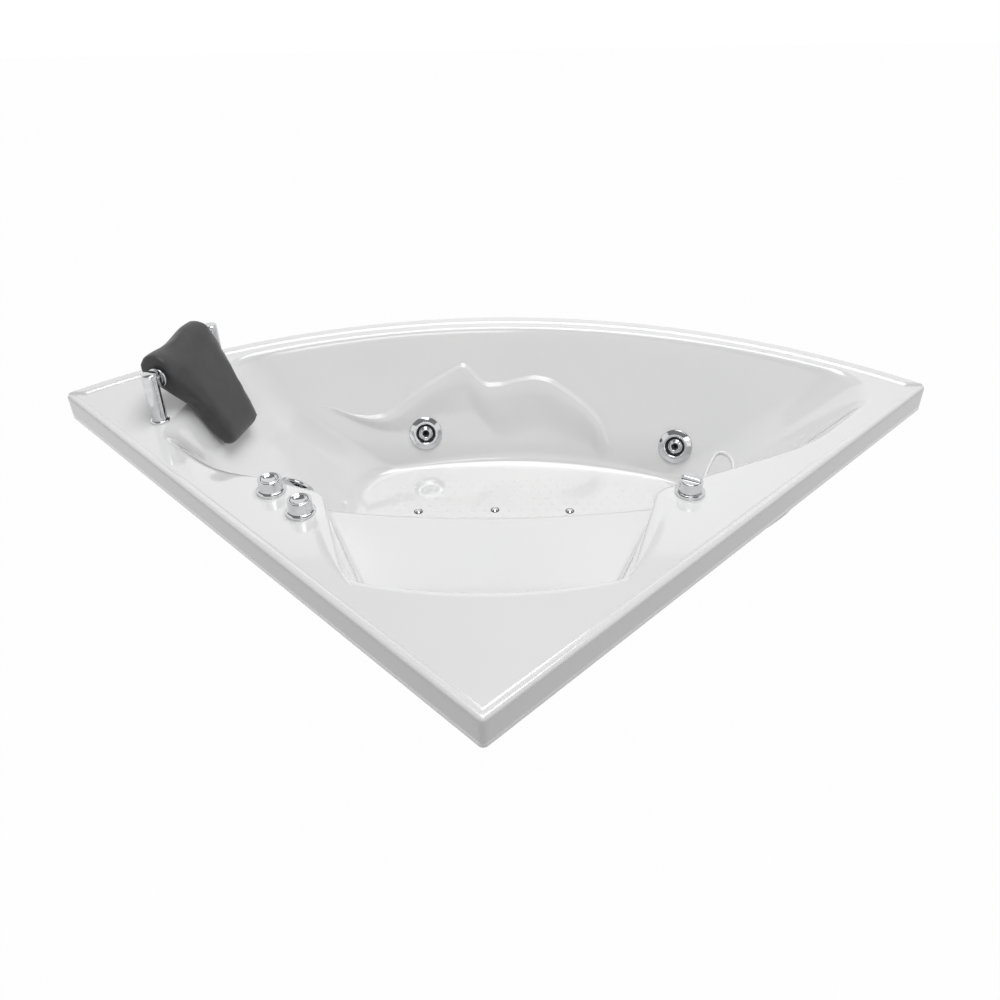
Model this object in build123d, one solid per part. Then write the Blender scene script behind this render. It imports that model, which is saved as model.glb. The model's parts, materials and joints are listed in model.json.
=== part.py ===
from build123d import *
import math
import os

# Corner jetted tub: a quarter-circle drop-in shell with a corner seat, a pillow on two posts,
# two swivel water jets, three floor air jets, deck controls, pop-up waste, pump, blower and frame.
# Work frame: the right-angled corner of the deck is the origin, the deck's top is z = 0,
# +Y runs along the diagonal to the curved side, and sizes are millimetres.
# Every node is moved at the end so that the floor under the middle of the tub is the origin.

DIAGONAL = math.sqrt(0.5)

# Shell
SIDE = 1400.0
RIM_HEIGHT = 560.0
PLAN_ROUND = 10.0
SHEET = 6.0
SKIRT_DROP = 59.0
EDGE_ROUND = 5.0
BEAD_WIDTH = 34.0
BEAD_RISE = 5.0
BEAD_ROUND = 3.0
BASIN_DEPTH = 336.0
SEAT_DEPTH = 140.0
FAR_RIM_RADIUS = 1340.0
FAR_FLOOR_RADIUS = 1203.0
TIP_ALONG = 1343.0
TIP_INSET = 60.0
BEND_ALONG = 905.0
BEND_INSET = 88.0
WING_INSET = 182.0
WING_ALONG = 640.0
WING_ROUND = 55.0
SEAT_EDGE = 283.0
SEAT_BACK_LOW = 345.0
SEAT_FRONT = 694.0
RISER_FOOT = 770.0

# Clearances
RUNNING = 0.05
SEATED = 0.3
HOLE_ROOM = 1.0
WALL_BACK = 9.0

# Deck controls
BUTTON_PLACES = ((-422.0, 582.0), (-351.0, 510.0))
REGULATOR_PLACE = (382.0, 565.0)
FLANGE_RADIUS = 28.5
FLANGE_HEIGHT = 8.0
FLANGE_BEVEL = 2.4
CONTROL_RADIUS = 23.0
CONTROL_HEIGHT = 31.0
STEM_RADIUS = 16.0
STEM_DROP = 40.0
DECK_NUT_RADIUS = 25.0
DECK_NUT_HEIGHT = 9.0
BUTTON_RADIUS = 17.0
BUTTON_HEIGHT = 9.0
BUTTON_TRAVEL = 4.0
BUTTON_DISH = 3.0
BUTTON_SINK = 0.5
DISH_RADIUS = 8.5
DISH_SIDE = 2.4
WELL_ROOM = 5.5
PLUNGER_RADIUS = 4.0
BELLOWS_RADIUS = 10.0
BELLOWS_WAIST = 7.0
BELLOWS_HEIGHT = 24.0
BELLOWS_FOLDS = 3
STEM_FLOOR = 6.0
GUIDE_LENGTH = 18.0
NIPPLE_RADIUS = 3.0
NIPPLE_BORE = 1.5
NIPPLE_LENGTH = 12.0
SPIGOT_RADIUS = 8.0
SPIGOT_HEIGHT = 18.0
FINGER_BAR = (38.0, 9.0, 5.0)
KNOB_EDGE = 1.8
VALVE_RADIUS = 14.0
VALVE_HEIGHT = 30.0
AIR_PIPE_RADIUS = 10.0
AIR_PIPE_WALL = 2.0

# Pillow and its posts
POST_NEAR = (-728.0, 863.0)
PILLOW_WIDTH = 201.0
PILLOW_END_ROOM = 29.5
POST_SPACING = PILLOW_WIDTH + 2 * PILLOW_END_ROOM
POST_TURN = 76.3
POST_RADIUS = 16.3
POST_HEIGHT = 115.0
POST_EDGE = 1.0
POST_RING_RADIUS = 21.0
POST_RING_HEIGHT = 6.0
POST_RING_EDGE = 2.0
STUD_RADIUS = 5.0
STUD_LENGTH = 28.0
POST_NUT_RADIUS = 15.0
POST_NUT_HEIGHT = 8.0
AXLE_HEIGHT = 92.0
AXLE_RADIUS = 5.0
WASHER_RADIUS = 22.0
WASHER_HEIGHT = 4.0
WASHER_GAP = 2.5
WASHER_PLACE = PILLOW_END_ROOM - WASHER_GAP - WASHER_HEIGHT
SLEEVE_RADIUS = 9.0
PILLOW_FOOT_WIDTH = 128.0
PILLOW_SLOPE = 58.0
PILLOW_LENGTH = 203.0
PILLOW_ROLL_RADIUS = 37.0
PILLOW_ROLL_CENTRE = (-10.0, 13.0)
PILLOW_FOOT_RADIUS = 18.0
PILLOW_REST = (46.0, -88.0)
PILLOW_NECK = 13.0
PILLOW_CROWN = 9.0
PILLOW_FOOT_ROUND = 24.0
PILLOW_TOP = 59.0
PILLOW_SHOULDER = 62.0
PILLOW_WIDEST = -10.0

# Water jets
JET_AZIMUTHS = (-8.8, 22.4)
JET_DEPTH = 249.0
JET_WALL_RADIUS = 1240.0
JET_VIEW_Y = 900.0
JET_FACE_RADIUS = 43.5
JET_FACE_HEIGHT = 9.0
JET_LIP = 0.4
JET_FLANGE_RADIUS = 36.0
JET_FLANGE = 2.5
JET_THREAD_RADIUS = 30.0
JET_BORE_RADIUS = 24.0
JET_TUBE_LENGTH = 46.0
JET_FLAT_RADIUS = 30.0
JET_NECK = 14.0
BALL_RADIUS = 20.0
BALL_SINK = 2.0
BALL_FRONT = 12.0
BALL_BACK = 14.0
NOZZLE_BORE = 6.0
NOZZLE_MOUTH = 10.0
JET_NUT_RADIUS = 42.0
JET_NUT_HEIGHT = 12.0
JET_BODY_RADIUS = 33.0
JET_BODY_LENGTH = 62.0
JET_BODY_END = 6.0
JET_PORT_DEPTH = 62.0
JET_PORT_REACH = 48.0
WATER_PIPE_RADIUS = 16.0
WATER_PIPE_WALL = 2.5
PORT_SPREAD = 15.0

# Floor air jets
AIR_JET_PLACES = ((-193.0, 983.0), (-1.0, 987.0), (186.0, 980.0))
AIR_CAP_RADIUS = 8.7
AIR_CAP_HEIGHT = 4.0
AIR_STEM_RADIUS = 6.0
AIR_NUT_RADIUS = 11.0
AIR_STEM_BORE = 4.0
AIR_STEM_LENGTH = 38.0
AIR_NUT_HEIGHT = 8.0
AIR_HOLE_RADIUS = 0.7
AIR_HOLES = 6
AIR_HOLE_PLACE = 2.4
AIR_CAP_EDGE = 1.3
AIR_CAP_FLAT = 5.2
MANIFOLD = (-300.0, 230.0)
MANIFOLD_Y = 983.0
MANIFOLD_DROP = 50.0

# Suction
SUCTION_X = 190.0
SUCTION_DEPTH = 235.0
SUCTION_COVER_RADIUS = 50.0
SUCTION_COVER_HEIGHT = 10.0
SUCTION_FLANGE_RADIUS = 42.0
SUCTION_BODY_LENGTH = 48.0
SUCTION_SLOT = 3.0
SUCTION_SLOTS = 16
SUCTION_SLOT_LENGTH = 20.0
SUCTION_SLOT_PLACE = 25.0
SUCTION_COVER_EDGE = 4.0
SUCTION_COVER_FLAT = 35.0
SUCTION_THREAD = 29.0
SUCTION_WIDE = 24.0
SLOT_SINK = 1.0
SCREW_RADIUS = 4.0
SUCTION_PIPE_RADIUS = 20.0

# Waste
DRAIN_PLACE = (-150.0, 872.0)
DRAIN_FLANGE_RADIUS = 35.0
DRAIN_FLANGE = 3.0
DRAIN_THROAT = 22.0
PLUG_RADIUS = 29.0
PLUG_HEIGHT = 6.0
PLUG_STEM_RADIUS = 4.0
DRAIN_BODY_RADIUS = 29.0
DRAIN_BODY_DROP = 96.0
TRAP_RADIUS = 20.0
TRAP_WALL = 2.5
TRAP_DROP = 66.0
TRAP_RISE = 79.0
TRAP_SPAN = 92.0
TRAP_BENDS = (40.0, 40.0, 35.0)
TAIL_LENGTH = 120.0
DRAIN_WALL = 3.0
DRAIN_NECK = 16.0
DRAIN_EDGE = 1.0
PLUG_EDGE = 3.0
PLUG_FLAT = 17.0
GUIDE_DROP = 60.0
GUIDE_RADIUS = 8.0
GUIDE_HEIGHT = 10.0
PLUG_STEM_LENGTH = 92.0
OVERFLOW_PIPE_RADIUS = 12.0
OVERFLOW_PIPE_WALL = 2.0
OVERFLOW_PORT_DROP = 82.0
DRAIN_PORT_REACH = 45.0
OVERFLOW_ALONG = 752.0
OVERFLOW_DEPTH = 58.0
DIAL_RADIUS = 35.0
DIAL_HEIGHT = 9.0
DIAL_STAND_OFF = 12.0
ROSETTE_RADIUS = 31.0
ROSETTE = 4.0
OVERFLOW_THREAD_RADIUS = 23.0
OVERFLOW_BORE_RADIUS = 19.0
OVERFLOW_THREAD_LENGTH = 24.0
DIAL_EDGE = 5.4
DIAL_FLAT = 28.0
DIAL_SHAFT_BACK = 8.0
HUB_RADIUS = 10.0
DIAL_SHAFT_RADIUS = 6.0
OVERFLOW_BODY_RADIUS = 27.0
OVERFLOW_BODY_LENGTH = 44.0

# Frame
TUBE = 40.0
TUBE_WALL = 2.0
BOARD = 16.0
BOARD_INSET = 12.0
NEAR_RAIL_Y = 790.0
FAR_RAIL_Y = 1112.0
NEAR_RAIL = (-490.0, 455.0)
FAR_RAIL = (-650.0, 545.0)
SIDE_BEAM_X = -470.0
NEAR_FEET = (-330.0, 305.0)
BEAM_XS = (-120.0, 60.0)
BEAM_FRONT = 535.0
UPRIGHT_XS = (-520.0, 0.0, 520.0)
UPRIGHT_BEHIND = 31.0
UPRIGHT_SIDE = 20.0
FOOT_ROD_RADIUS = 6.0
FOOT_PAD_RADIUS = 24.0
FOOT_PAD_HEIGHT = 12.0
FOOT_NUT_RADIUS = 11.0
FOOT_NUT_HEIGHT = 10.0
ROD_TOP_ROOM = 6.0
PAD_SOCKET = 4.0
PAD_EDGE = 5.0
PAD_NECK = 12.0
BATTEN = (1220.0, 18.0, 40.0)
BATTEN_START = 70.0
SHELF = 3.0
PUMP_SHELF_FRONT = 576.0
PUMP_SHELF_BACK = 778.0
PUMP_SHELF_RIGHT = 165.0
BLOWER_SHELF_FRONT = 899.0

# Pump, blower and control box
PUMP_SHAFT_Y = 612.0
PUMP_SHAFT_RISE = 75.0
VOLUTE_RADIUS = 72.0
VOLUTE_LENGTH = 62.0
VOLUTE_X = 60.0
VOLUTE_WALL = 5.0
INLET_LENGTH = 30.0
DISCHARGE_OFFSET = 40.0
DISCHARGE_RISE = 8.0
MOTOR_RADIUS = 62.0
MOTOR_LENGTH = 175.0
MOTOR_WALL = 5.0
MOTOR_FINS = 24
FIN_HEIGHT = 6.0
FIN = 2.0
WINDING_RADIUS = 50.0
ROTOR_GAP = 1.0
SHAFT_RADIUS = 7.0
IMPELLER_RADIUS = 52.0
IMPELLER_BLADES = 6
IMPELLER_HUB = 16.0
BLADE = 3.0
BLADE_HEIGHT = 18.0
ROTOR_RADIUS = 34.0
ROTOR_LENGTH = 100.0
BLOWER_X = -566.0
BLOWER_RADIUS = 84.0
BLOWER_HEIGHT = 116.0
BLOWER_WALL = 4.0
BLOWER_SLOTS = 12
VENT_LENGTH = 33.0
VENT_PLACE = 46.0
BLOWER_PORT_RISE = 25.0
FAN_RADIUS = 66.0
FAN_BLADES = 12
FAN_HUB = 14.0
FAN_BLADE_HEIGHT = 40.0
FAN_SHAFT_RADIUS = 6.0
BOX = (116.0, 104.0, 62.0)
BOX_PLACE = (-278.0, 632.0)
BOX_WALL = 3.0
LID_HEIGHT = 8.0
GLAND_RADIUS = 12.0
GLAND_BORE = 6.0
GLAND_LENGTH = 14.0
LINE_SPREAD = 14.0
LINE_WALL = 1.0

# Pipe routes: points between a pipe's two ends, where the water pipe's levels count up from the basin's floor
PORT_RUN = 131.0
LONG_BEND = 400.0
WATER_RISE = 28.0
WATER_ROUTE = (
    (330.0, 640.0, 156.0), (560.0, 715.0, 131.0), (690.0, 860.0, 108.0), (730.0, 1010.0, 74.0),
)
WATER_BENDS = [26.0, 300.0, 300.0, 300.0, 180.0, 70.0]
AIR_FALL = 40.0
AIR_ROUTE = (
    (540.0, 684.0, -140.0), (740.0, 860.0, -162.0), (835.0, 985.0, -180.0), (790.0, 1045.0, -205.0),
)
AIR_BENDS = [35.0, 300.0, 200.0, 60.0, 60.0, 150.0]
OVERFLOW_FALL = 32.0
OVERFLOW_TURNS = ((-378.0, 700.0), (-368.0, 715.0))
OVERFLOW_TURN_RISE = 168.0
OVERFLOW_BENDS = [35.0, 120.0, 40.0]
OVERFLOW_STUB = 40.0
SUCTION_BEND = 30.0
SUCTION_FLANGE = 4.0
BRIDGE = 6.0
BRIDGE_WIDTH = 8.0
BLOWER_STUB = 12.0
HOSE_OVER = 45.0
HOSE_RUN = 65.0
HOSE_BEND = 45.0
FOOT_SIZE = (90.0, 78.0, 28.0)
LINE_ROUTES = (
    ((-422.0, 582.0, -120.0), (-380.0, 615.0, -190.0)),
    ((-351.0, 510.0, -120.0), (-335.0, 560.0, -200.0)),
)
LINE_RISES = (46.0, 36.0)
LINE_BEND = 18.0


def beside(along, inset, side):
    """Plan point at a distance along a straight side and inset from it; side is 1 right, -1 left."""
    return side * DIAGONAL * (along - inset), DIAGONAL * (along + inset)


def on_radius(radius, x):
    """Plan point at this x on a circle about the deck's corner."""
    return x, math.sqrt(radius ** 2 - x ** 2)


def pushed_out(corners, grow):
    """The same outline grown outwards all round; corners are (x, y, round) and bends are (x, y)."""
    result = []
    for i, corner in enumerate(corners):
        before, after = corners[i - 1], corners[(i + 1) % len(corners)]
        way_in = Vector(corner[0] - before[0], corner[1] - before[1]).normalized()
        way_out = Vector(after[0] - corner[0], after[1] - corner[1]).normalized()
        normals = Vector(way_in.Y, -way_in.X) + Vector(way_out.Y, -way_out.X)
        shift = normals * (grow / (1 + way_in.dot(way_out)))
        left_turn = way_in.X * way_out.Y - way_in.Y * way_out.X > 0
        rounds = [corner[2] + (grow if left_turn else -grow)] if len(corner) == 3 else []
        result.append((corner[0] + shift.X, corner[1] + shift.Y, *rounds))
    return result


def outline(corners, z, grow=0.0):
    """Face through (x, y, round) corners; an (x, y) bend between two corners makes that side an arc."""
    points = pushed_out(corners, grow)
    sides = []
    for i, start in enumerate(points):
        if len(start) == 2:
            continue
        middle = points[(i + 1) % len(points)]
        if len(middle) == 2:
            end = points[(i + 2) % len(points)]
            sides.append(ThreePointArc(start[:2], middle, end[:2]))
        else:
            sides.append(Line(start[:2], middle[:2]))
    face = make_face(sides)
    for corner in points:
        if len(corner) == 3:
            face = fillet(face.vertices().sort_by_distance((corner[0], corner[1], 0))[0], corner[2])
    return Pos(0, 0, z) * face


def mirrored(point, side):
    return (side * point[0], *point[1:])


# Basin outlines, counter-clockwise from the right tip: tip, far side, pillow end, wings, right bend
RIM = [
    (*beside(TIP_ALONG, TIP_INSET, 1), 115), on_radius(FAR_RIM_RADIUS, 100),
    (*on_radius(FAR_RIM_RADIUS, -632), 90), (-693, 795, 75), (*beside(BEND_ALONG, BEND_INSET, -1), 250),
    (*beside(WING_ALONG, WING_INSET, -1), WING_ROUND), (*beside(WING_ALONG, WING_INSET, 1), WING_ROUND),
    (*beside(1000, 66, 1), 500),
]
MIDDLE = [
    (762, 1022, 130), (100, 1279), (-552, 1152, 100), (-618, 818, 75), (-487, 742, 150),
    (-365, 727, 60), (365, 727, 60), (585, 794, 340),
]
FLOOR = [
    (*on_radius(FAR_FLOOR_RADIUS, 560), 150), on_radius(FAR_FLOOR_RADIUS, 100),
    (*on_radius(FAR_FLOOR_RADIUS, -350), 130), (-352, 860, 60), (-330, 810, 60),
    (-290, 780, 60), (340, 780, 60), (480, 850, 120),
]
SEAT_CORNERS = ((246.0, 320.0, 45.0), (205.0, 372.0, 60.0))


def opening(level, seat, back, z, grow):
    """Basin and seat together: the seat's corners lie between the two wings."""
    recess = [mirrored(seat, -1), (0, back), seat]
    return outline(level[:6] + recess + level[6:], z, grow)


def well(level, front, z, grow):
    """The basin alone, below the seat, with the seat's front as its near side."""
    return outline(level[:6] + [(0, front)] + level[6:], z, grow)


def cavity(grow, drop):
    """The basin's inside, or with growth its outside, as two stacked lofts."""
    upper = loft([
        opening(RIM, SEAT_CORNERS[0], SEAT_EDGE, 0, grow),
        opening(MIDDLE, SEAT_CORNERS[1], SEAT_BACK_LOW, -SEAT_DEPTH - drop, grow),
    ], ruled=True)
    lower = loft([
        well(MIDDLE, SEAT_FRONT, -SEAT_DEPTH, grow),
        well(FLOOR, RISER_FOOT, -BASIN_DEPTH - drop, grow),
    ], ruled=True)
    return upper + lower


def plan(grow=0.0):
    """The deck's outline: a quarter circle with three small round corners."""
    reach = SIDE * DIAGONAL
    corners = [(0, 0, PLAN_ROUND), (reach, reach, PLAN_ROUND), (0, SIDE), (-reach, reach, PLAN_ROUND)]
    return outline(corners, 0, grow)


def turned(*points):
    """A solid turned about Z through (radius, height) points."""
    return revolve(Plane.XZ * make_face(Polyline(*points, close=True)), Axis.Z)


def disc(radius, low, high):
    return Pos(0, 0, low) * Cylinder(radius, high - low, align=(Align.CENTER, Align.CENTER, Align.MIN))


def tube(radius, bore, low, high):
    return disc(radius, low, high) - disc(bore, low, high)


def bar(x_range, y_range, z_range):
    """A box between three pairs of limits."""
    sizes = [high - low for low, high in (x_range, y_range, z_range)]
    corner = Pos(x_range[0], y_range[0], z_range[0])
    return corner * Box(*sizes, align=(Align.MIN, Align.MIN, Align.MIN))


def hollow_bar(x_range, y_range, z_range, along):
    """A square tube between three pairs of limits, open at its two ends."""
    ranges = [x_range, y_range, z_range]
    bore = [r if i == along else (r[0] + TUBE_WALL, r[1] - TUBE_WALL) for i, r in enumerate(ranges)]
    return bar(*ranges) - bar(*bore)


def pipe(points, radius, wall, bend):
    """A hollow pipe through points, with arcs of one bend radius."""
    path = FilletPolyline(*points, radius=bend) if len(points) > 2 else Line(*points)
    start = Plane(path @ 0, z_dir=path % 0)
    outer = sweep(start * Circle(radius), path)
    return outer - sweep(start * Circle(radius - wall), path)


INSIDE = cavity(0, 0)


def wall_place(start, direction):
    """Plane on the basin's wall where a ray from inside meets it; its Z points into the basin."""
    way = Vector(*direction).normalized()
    ray = Axis(start, way)
    hits = [(point, (point - ray.position).dot(way)) for point, _ in INSIDE.find_intersection_points(ray)]
    point = min((hit for hit in hits if hit[1] > 0), key=lambda hit: hit[1])[0]
    face = INSIDE.faces().sort_by_distance(point)[0]
    normal = face.normal_at(point) * -1
    return Plane(point, x_dir=Vector(0, 0, 1).cross(normal), z_dir=normal)


def jet_place(azimuth):
    turn = math.radians(azimuth)
    x, y = math.sin(turn) * JET_WALL_RADIUS, math.cos(turn) * JET_WALL_RADIUS
    return wall_place((0, JET_VIEW_Y, -JET_DEPTH), (x, y - JET_VIEW_Y, 0))


JET_PLANES = [jet_place(azimuth) for azimuth in JET_AZIMUTHS]
SUCTION_PLANE = wall_place((SUCTION_X, 1000, -SUCTION_DEPTH), (0, -1, 0))
OVERFLOW_PLANE = wall_place((*beside(OVERFLOW_ALONG, 420, -1), -OVERFLOW_DEPTH), (-1, -1, 0))
OVERFLOW_BACK = OVERFLOW_PLANE.from_local_coords(Vector(0, 0, -SHEET - OVERFLOW_BODY_LENGTH / 2))
OVERFLOW_OUTLET = Plane(OVERFLOW_BACK, z_dir=(0, 0, -1)).location

DECK_POINTS = [Pos(x, y, 0) for x, y in (*BUTTON_PLACES, REGULATOR_PLACE)]
UNDERSIDE = -SHEET
BOARD_TOP = -BASIN_DEPTH - SHEET
RAIL_TOP = BOARD_TOP - BOARD
RAIL_LOW = RAIL_TOP - TUBE
SHELF_TOP = RAIL_TOP + SHELF
GROUND = -RIM_HEIGHT
PUMP_SHAFT = (PUMP_SHAFT_Y, SHELF_TOP + PUMP_SHAFT_RISE)
MANIFOLD_Z = -BASIN_DEPTH - MANIFOLD_DROP
OVERFLOW_PORT_Z = -BASIN_DEPTH - OVERFLOW_PORT_DROP
OVERFLOW_ROUTE = [
    (*OVERFLOW_TURNS[0], OVERFLOW_PORT_Z + OVERFLOW_TURN_RISE),
    (*OVERFLOW_TURNS[1], OVERFLOW_PORT_Z),
]
WELL_FLOOR = CONTROL_HEIGHT - BUTTON_SINK - BUTTON_HEIGHT - BUTTON_TRAVEL - WELL_ROOM


# Pillow frame: along the axle, into the tub, and the pillow's slope
POST_WAY = Vector(math.cos(math.radians(POST_TURN)), math.sin(math.radians(POST_TURN)), 0)
POST_FAR = tuple(Vector(*POST_NEAR) + POST_WAY * POST_SPACING)[:2]
INWARD = Vector(POST_WAY.Y, -POST_WAY.X, 0)
POST_POINTS = [Pos(x, y, 0) for x, y in (POST_NEAR, POST_FAR)]
AXLE_PLANE = Plane((*POST_NEAR, AXLE_HEIGHT), x_dir=INWARD, z_dir=POST_WAY * -1)


def along_axle(distance):
    """Plane square to the axle at a distance from the near post: X into the tub, Y up."""
    return AXLE_PLANE.offset(-distance)


def rod(radius, start, end):
    """A round bar on the axle's line between two distances from the near post."""
    return extrude(along_axle(start) * Circle(radius), start - end)


def sockets():
    """Every hole through the sheet, for the fittings that pass it."""
    holes = [place * disc(STEM_RADIUS + HOLE_ROOM, -2 * SHEET, SHEET) for place in DECK_POINTS]
    holes += [place * disc(STUD_RADIUS + HOLE_ROOM, -2 * SHEET, SHEET) for place in POST_POINTS]
    through = 4 * SHEET
    holes += [p.location * disc(JET_THREAD_RADIUS + HOLE_ROOM, -through, through) for p in JET_PLANES]
    holes += [SUCTION_PLANE.location * disc(JET_THREAD_RADIUS + HOLE_ROOM, -through, through)]
    holes += [OVERFLOW_PLANE.location * disc(OVERFLOW_THREAD_RADIUS + HOLE_ROOM, -through, through)]
    floor = -BASIN_DEPTH
    air_hole = disc(AIR_STEM_RADIUS + HOLE_ROOM, -2 * SHEET, SHEET)
    holes += [Pos(x, y, floor) * air_hole for x, y in AIR_JET_PLACES]
    holes += [Pos(*DRAIN_PLACE, floor) * disc(DRAIN_THROAT + DRAIN_WALL + HOLE_ROOM, -2 * SHEET, SHEET)]
    return holes


def tub_shell():
    """One formed sheet: deck, turned-down skirt, raised bead on the curved side, basin and seat."""
    deck = extrude(plan(), -SHEET)
    skirt = extrude(plan() - plan(-SHEET), -SKIRT_DROP)
    formed = deck + skirt
    body = fillet(formed.edges().group_by(Axis.Z)[-1], EDGE_ROUND)
    ring = extrude(plan(-EDGE_ROUND) - Circle(SIDE - BEAD_WIDTH), BEAD_RISE)
    bead = fillet(ring.edges().group_by(Axis.Z)[-1].sort_by(Edge.length)[-2:], BEAD_ROUND)
    shell = body + bead + cavity(SHEET, SHEET) - INSIDE
    for hole in sockets():
        shell -= hole
    return shell


def base_board():
    """Board bonded under the floor; it carries the load into the frame."""
    board = extrude(outline(well_floor(), BOARD_TOP), -BOARD)
    for x, y in AIR_JET_PLACES:
        board -= Pos(x, y, BOARD_TOP) * disc(AIR_NUT_RADIUS + HOLE_ROOM, -2 * BOARD, BOARD)
    return board - Pos(*DRAIN_PLACE, BOARD_TOP) * disc(DRAIN_BODY_RADIUS + 2 * HOLE_ROOM, -2 * BOARD, BOARD)


def well_floor():
    """The floor's outline, drawn in for the board."""
    return pushed_out(FLOOR[:6] + [(0, RISER_FOOT)] + FLOOR[6:], -BOARD_INSET)


def drilled(tube_bar):
    """A rail or beam with holes for the feet in its lower wall."""
    for x, y in foot_points():
        tube_bar -= Pos(x, y, RAIL_LOW) * disc(FOOT_ROD_RADIUS, -TUBE_WALL, 2 * TUBE_WALL)
    return tube_bar


def frame_rails():
    """Two square tubes across the tub, under the board."""
    half = TUBE / 2
    heights = (RAIL_LOW, RAIL_TOP)
    rails = ((NEAR_RAIL, NEAR_RAIL_Y), (FAR_RAIL, FAR_RAIL_Y))
    return [drilled(hollow_bar(ends, (y - half, y + half), heights, 0)) for ends, y in rails]


def upright_points():
    return [on_radius(FAR_RIM_RADIUS + UPRIGHT_BEHIND, x) for x in UPRIGHT_XS]


def frame_beams():
    """Tubes towards the corner for the pump shelf, between the rails, and out to the uprights."""
    half = TUBE / 2
    heights = (RAIL_LOW, RAIL_TOP)
    front = [(x, BEAM_FRONT, NEAR_RAIL_Y - half) for x in BEAM_XS]
    side = [(SIDE_BEAM_X, NEAR_RAIL_Y + half, FAR_RAIL_Y - half)]
    back = [(x, FAR_RAIL_Y + half, y + half) for x, y in upright_points()]
    beams = front + side + back
    return [drilled(hollow_bar((x - half, x + half), (low, high), heights, 1)) for x, low, high in beams]


def frame_uprights():
    """Props from the beams to the underside of the curved rim."""
    half = UPRIGHT_SIDE / 2
    return [hollow_bar((x - half, x + half), (y - half, y + half), (RAIL_TOP, UNDERSIDE), 2)
            for x, y in upright_points()]


def foot_points():
    inset = TUBE / 2
    front = [(x, BEAM_FRONT + inset) for x in BEAM_XS]
    sides = [(x, NEAR_RAIL_Y) for x in NEAR_FEET]
    back = [(x, y - inset) for x, y in upright_points()]
    return front + sides + back


def foot_rods():
    top = RAIL_TOP - TUBE_WALL - ROD_TOP_ROOM
    bottom = GROUND + FOOT_PAD_HEIGHT - PAD_SOCKET
    return [Pos(x, y, 0) * disc(FOOT_ROD_RADIUS, bottom, top) for x, y in foot_points()]


def foot_nuts():
    """A nut inside the tube and a lock nut under it, on every foot."""
    nut = hexagon_nut(FOOT_NUT_RADIUS, FOOT_NUT_HEIGHT, FOOT_ROD_RADIUS)
    levels = (RAIL_LOW - FOOT_NUT_HEIGHT, RAIL_LOW + TUBE_WALL)
    return [Pos(x, y, low) * nut for x, y in foot_points() for low in levels]


def foot_pads():
    """Rubber feet with a socket for the rod."""
    side = ((FOOT_PAD_RADIUS, 0), (FOOT_PAD_RADIUS, PAD_EDGE), (PAD_NECK, FOOT_PAD_HEIGHT))
    pad = turned((0, 0), *side, (0, FOOT_PAD_HEIGHT))
    pad -= disc(FOOT_ROD_RADIUS, FOOT_PAD_HEIGHT - PAD_SOCKET, FOOT_PAD_HEIGHT + HOLE_ROOM)
    return [Pos(x, y, GROUND) * pad for x, y in foot_points()]


def rim_battens():
    """Timber strips under the deck along both straight sides, for the wall fixings."""
    length, width, height = BATTEN
    battens = []
    for side in (1, -1):
        x, y = beside(BATTEN_START + length / 2, SHEET + width / 2, side)
        strip = Box(length, width, height, align=(Align.CENTER, Align.CENTER, Align.MAX))
        battens.append(Pos(x, y, UNDERSIDE) * Rot(0, 0, side * 45) * strip)
    return battens


def equipment_shelves():
    """Two sheet plates on the frame, one for pump and box and one for the blower."""
    top = (RAIL_TOP, SHELF_TOP)
    pump = bar((BOX_PLACE[0] - BOX[0] / 2, PUMP_SHELF_RIGHT), (PUMP_SHELF_FRONT, PUMP_SHELF_BACK), top)
    blower = bar((FAR_RAIL[0], SIDE_BEAM_X + TUBE / 2), (BLOWER_SHELF_FRONT, FAR_RAIL_Y + TUBE / 2), top)
    return [pump, blower]


# Pillow

def pillow_posts():
    edge = ((POST_RADIUS, POST_HEIGHT - POST_EDGE), (POST_RADIUS - POST_EDGE, POST_HEIGHT))
    post = turned((0, 0), (POST_RADIUS, 0), *edge, (0, POST_HEIGHT))
    post += disc(STUD_RADIUS, -STUD_LENGTH, 0)
    axle = rod(AXLE_RADIUS, 0, POST_SPACING)
    return [place * post - axle for place in POST_POINTS]


def post_rings():
    width, height, edge = POST_RING_RADIUS, POST_RING_HEIGHT, POST_RING_EDGE
    rim = ((width, 0), (width, height - edge), (width - edge, height))
    ring = turned((POST_RADIUS, 0), *rim, (POST_RADIUS, height))
    return [place * ring for place in POST_POINTS]


def post_nuts():
    nut = hexagon_nut(POST_NUT_RADIUS, POST_NUT_HEIGHT, STUD_RADIUS)
    return [place * Pos(0, 0, UNDERSIDE - POST_NUT_HEIGHT) * nut for place in POST_POINTS]


def pillow_axle():
    return rod(AXLE_RADIUS, 0, POST_SPACING)


def pillow_washers():
    """Chrome washers between each post and the pillow's end."""
    starts = (WASHER_PLACE, POST_SPACING - WASHER_PLACE - WASHER_HEIGHT)
    axle = pillow_axle()
    return [rod(WASHER_RADIUS, start, start + WASHER_HEIGHT) - axle for start in starts]


def pillow_ends():
    middle = POST_SPACING / 2
    return middle - PILLOW_WIDTH / 2, middle + PILLOW_WIDTH / 2


def pillow_sleeve():
    """Plastic tube bonded in the pillow; it turns on the axle."""
    start, end = pillow_ends()
    return rod(SLEEVE_RADIUS, start, end) - rod(AXLE_RADIUS + RUNNING, start - HOLE_ROOM, end + HOLE_ROOM)


def slope_point(distance, out):
    """Point in the axle's plane at a distance down the pillow's slope and out from it."""
    slope = math.radians(PILLOW_SLOPE)
    x = distance * math.cos(slope) + out * math.sin(slope)
    return x, out * math.cos(slope) - distance * math.sin(slope)


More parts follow.
